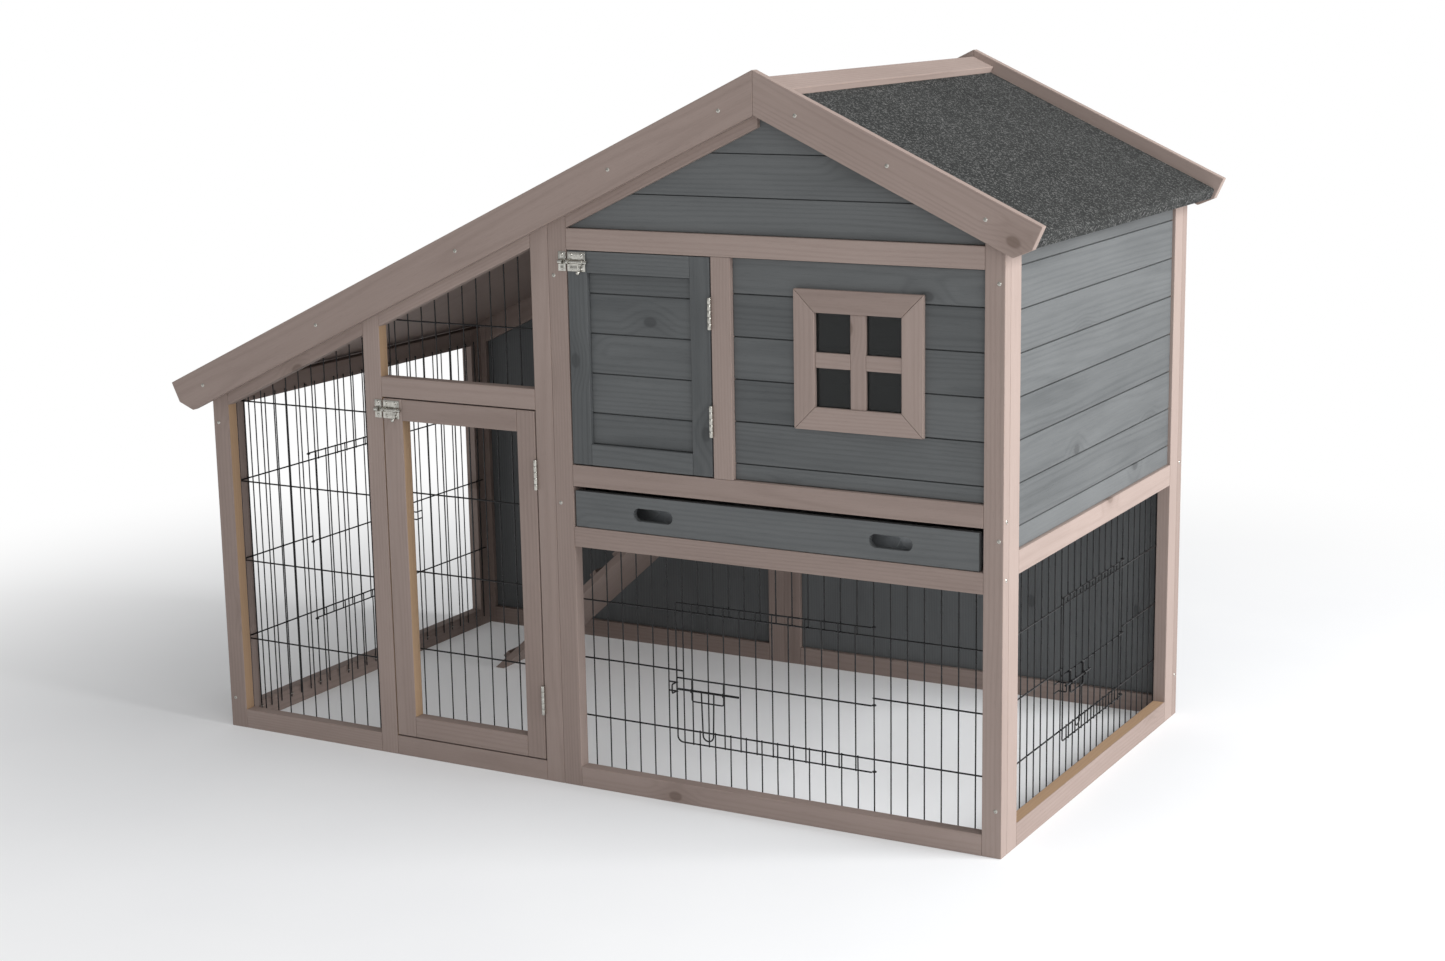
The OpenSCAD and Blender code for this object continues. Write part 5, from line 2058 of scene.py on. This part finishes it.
@dataclass
class Studio:
    """A white floor that fades into a white room, soft light and the camera.

    Attributes:
        eye: The camera's place.
        ahead: The way that it looks.
        right: Its right hand.
        lens: Its focal length on a frame 36 mm wide.
        lamps: The lights.
        room_glow: How strongly the white room lights the hutch.
        fade: Distances from the middle where the floor starts and ends its fade into plain white.
    """

    eye: Colour = (1.9336, -3.3468, 1.2333)
    ahead: Colour = (-0.4790, 0.8527, -0.2083)
    right: Colour = (0.8722, 0.4888, -0.01745)
    lens: float = 59.48
    lamps: tuple[Lamp, ...] = (
        Lamp("window_light", (4.6, 0.35, 2.3), (0.1, 0.0, 0.55), 2.8, 310.0),
        Lamp("front_light", (3.0, -3.0, 1.5), (0.5, -0.38, 0.5), 2.4, 34.0),
        Lamp("sky_light", (0.6, -1.2, 4.6), (0.0, 0.0, 0.5), 3.5, 30.0),
    )
    room_glow: float = 0.40
    fade: Point2 = (0.9, 2.3)

    def build(self) -> None:
        """Builds the camera, the world, the floor and the lights."""
        self.camera()
        self.world()
        self.floor()
        for lamp in self.lamps:
            lamp.hang()

    def camera(self) -> None:
        """Stands the camera at the viewing place."""
        data = bpy.data.cameras.new("view")
        data.lens = self.lens
        data.sensor_width = 36.0
        data.clip_end = 200.0
        camera = bpy.data.objects.new("view", data)
        back = -Vector(self.ahead).normalized()
        level = Vector(self.right)
        right = (level - back * level.dot(back)).normalized()
        turn = Matrix((right, back.cross(right), back)).transposed().to_4x4()
        camera.matrix_world = Matrix.Translation(self.eye) @ turn
        bpy.context.scene.collection.objects.link(camera)
        bpy.context.scene.camera = camera
        bpy.context.scene.view_settings.view_transform = "Standard"

    def world(self) -> None:
        """Makes a white room that lights a little less than it shows."""
        world = bpy.data.worlds.new("white_room")
        world.use_nodes = True
        world.node_tree.nodes.clear()
        g = Graph(world.node_tree)
        seen = g.node("ShaderNodeLightPath")["Is Camera Ray"]
        glow = seen * (1 - self.room_glow) + self.room_glow
        light = g.node("ShaderNodeBackground", {}, {0: WHITE, 1: glow})
        g.node("ShaderNodeOutputWorld", {}, {0: light[0]})
        bpy.context.scene.world = world

    def floor(self) -> None:
        """Lays a pale floor that turns into plain white away from the hutch."""
        bm = bmesh.new()
        bmesh.ops.create_circle(bm, cap_ends=True, segments=96, radius=9.0)
        mesh = bpy.data.meshes.new("studio_floor")
        bm.to_mesh(mesh)
        bm.free()
        floor = bpy.data.objects.new("studio_floor", mesh)
        bpy.context.scene.collection.objects.link(floor)
        g = Surface("pale_floor")
        place = g.here()
        x, y, _ = g.split(place)
        away = (x * x + y * y).root().ramp(*self.fade) * 0.86 + 0.14
        mottle = g.noise(place, 3.0, 3.0)
        pale = g.mix(mottle, (0.80, 0.81, 0.83), (0.86, 0.87, 0.88))
        matt = g.node("ShaderNodeBsdfDiffuse", {}, {0: pale})
        glow = g.node("ShaderNodeEmission", {}, {0: WHITE, 1: 1.0})
        mixed = g.node("ShaderNodeMixShader", {}, {0: away, 1: matt[0], 2: glow[0]})
        g.node("ShaderNodeOutputMaterial", {}, {0: mixed[0]})
        mesh.materials.append(g.material)


def glaze() -> None:
    """Gives the window pane its finish: clear acrylic with dust, darkened and made half opaque as painted
    shade of the room behind.
    """
    pane = frame["nodes"]["window_pane"]
    pane.data.materials.clear()
    pane.data.materials.append(Finish.PANE.material())


def main() -> None:
    """Builds the studio and every piece of the hutch."""
    logging.basicConfig(level=logging.INFO, format="%(name)s: %(message)s")
    Studio().build()
    line = Roofline.from_frame()
    joiner = Joiner()
    roof = Roof(line, joiner)
    roof.build()
    Carcass(line, joiner).build()
    Leaves(joiner).build()
    meshwork = Meshwork(wire_tool(), line)
    panels = meshwork.panels()
    meshwork.build(panels)
    Ironwork(fastener_tool()).build(roof, panels)
    glaze()
    bpy.context.view_layer.update()


if __name__ == "__main__":
    main()
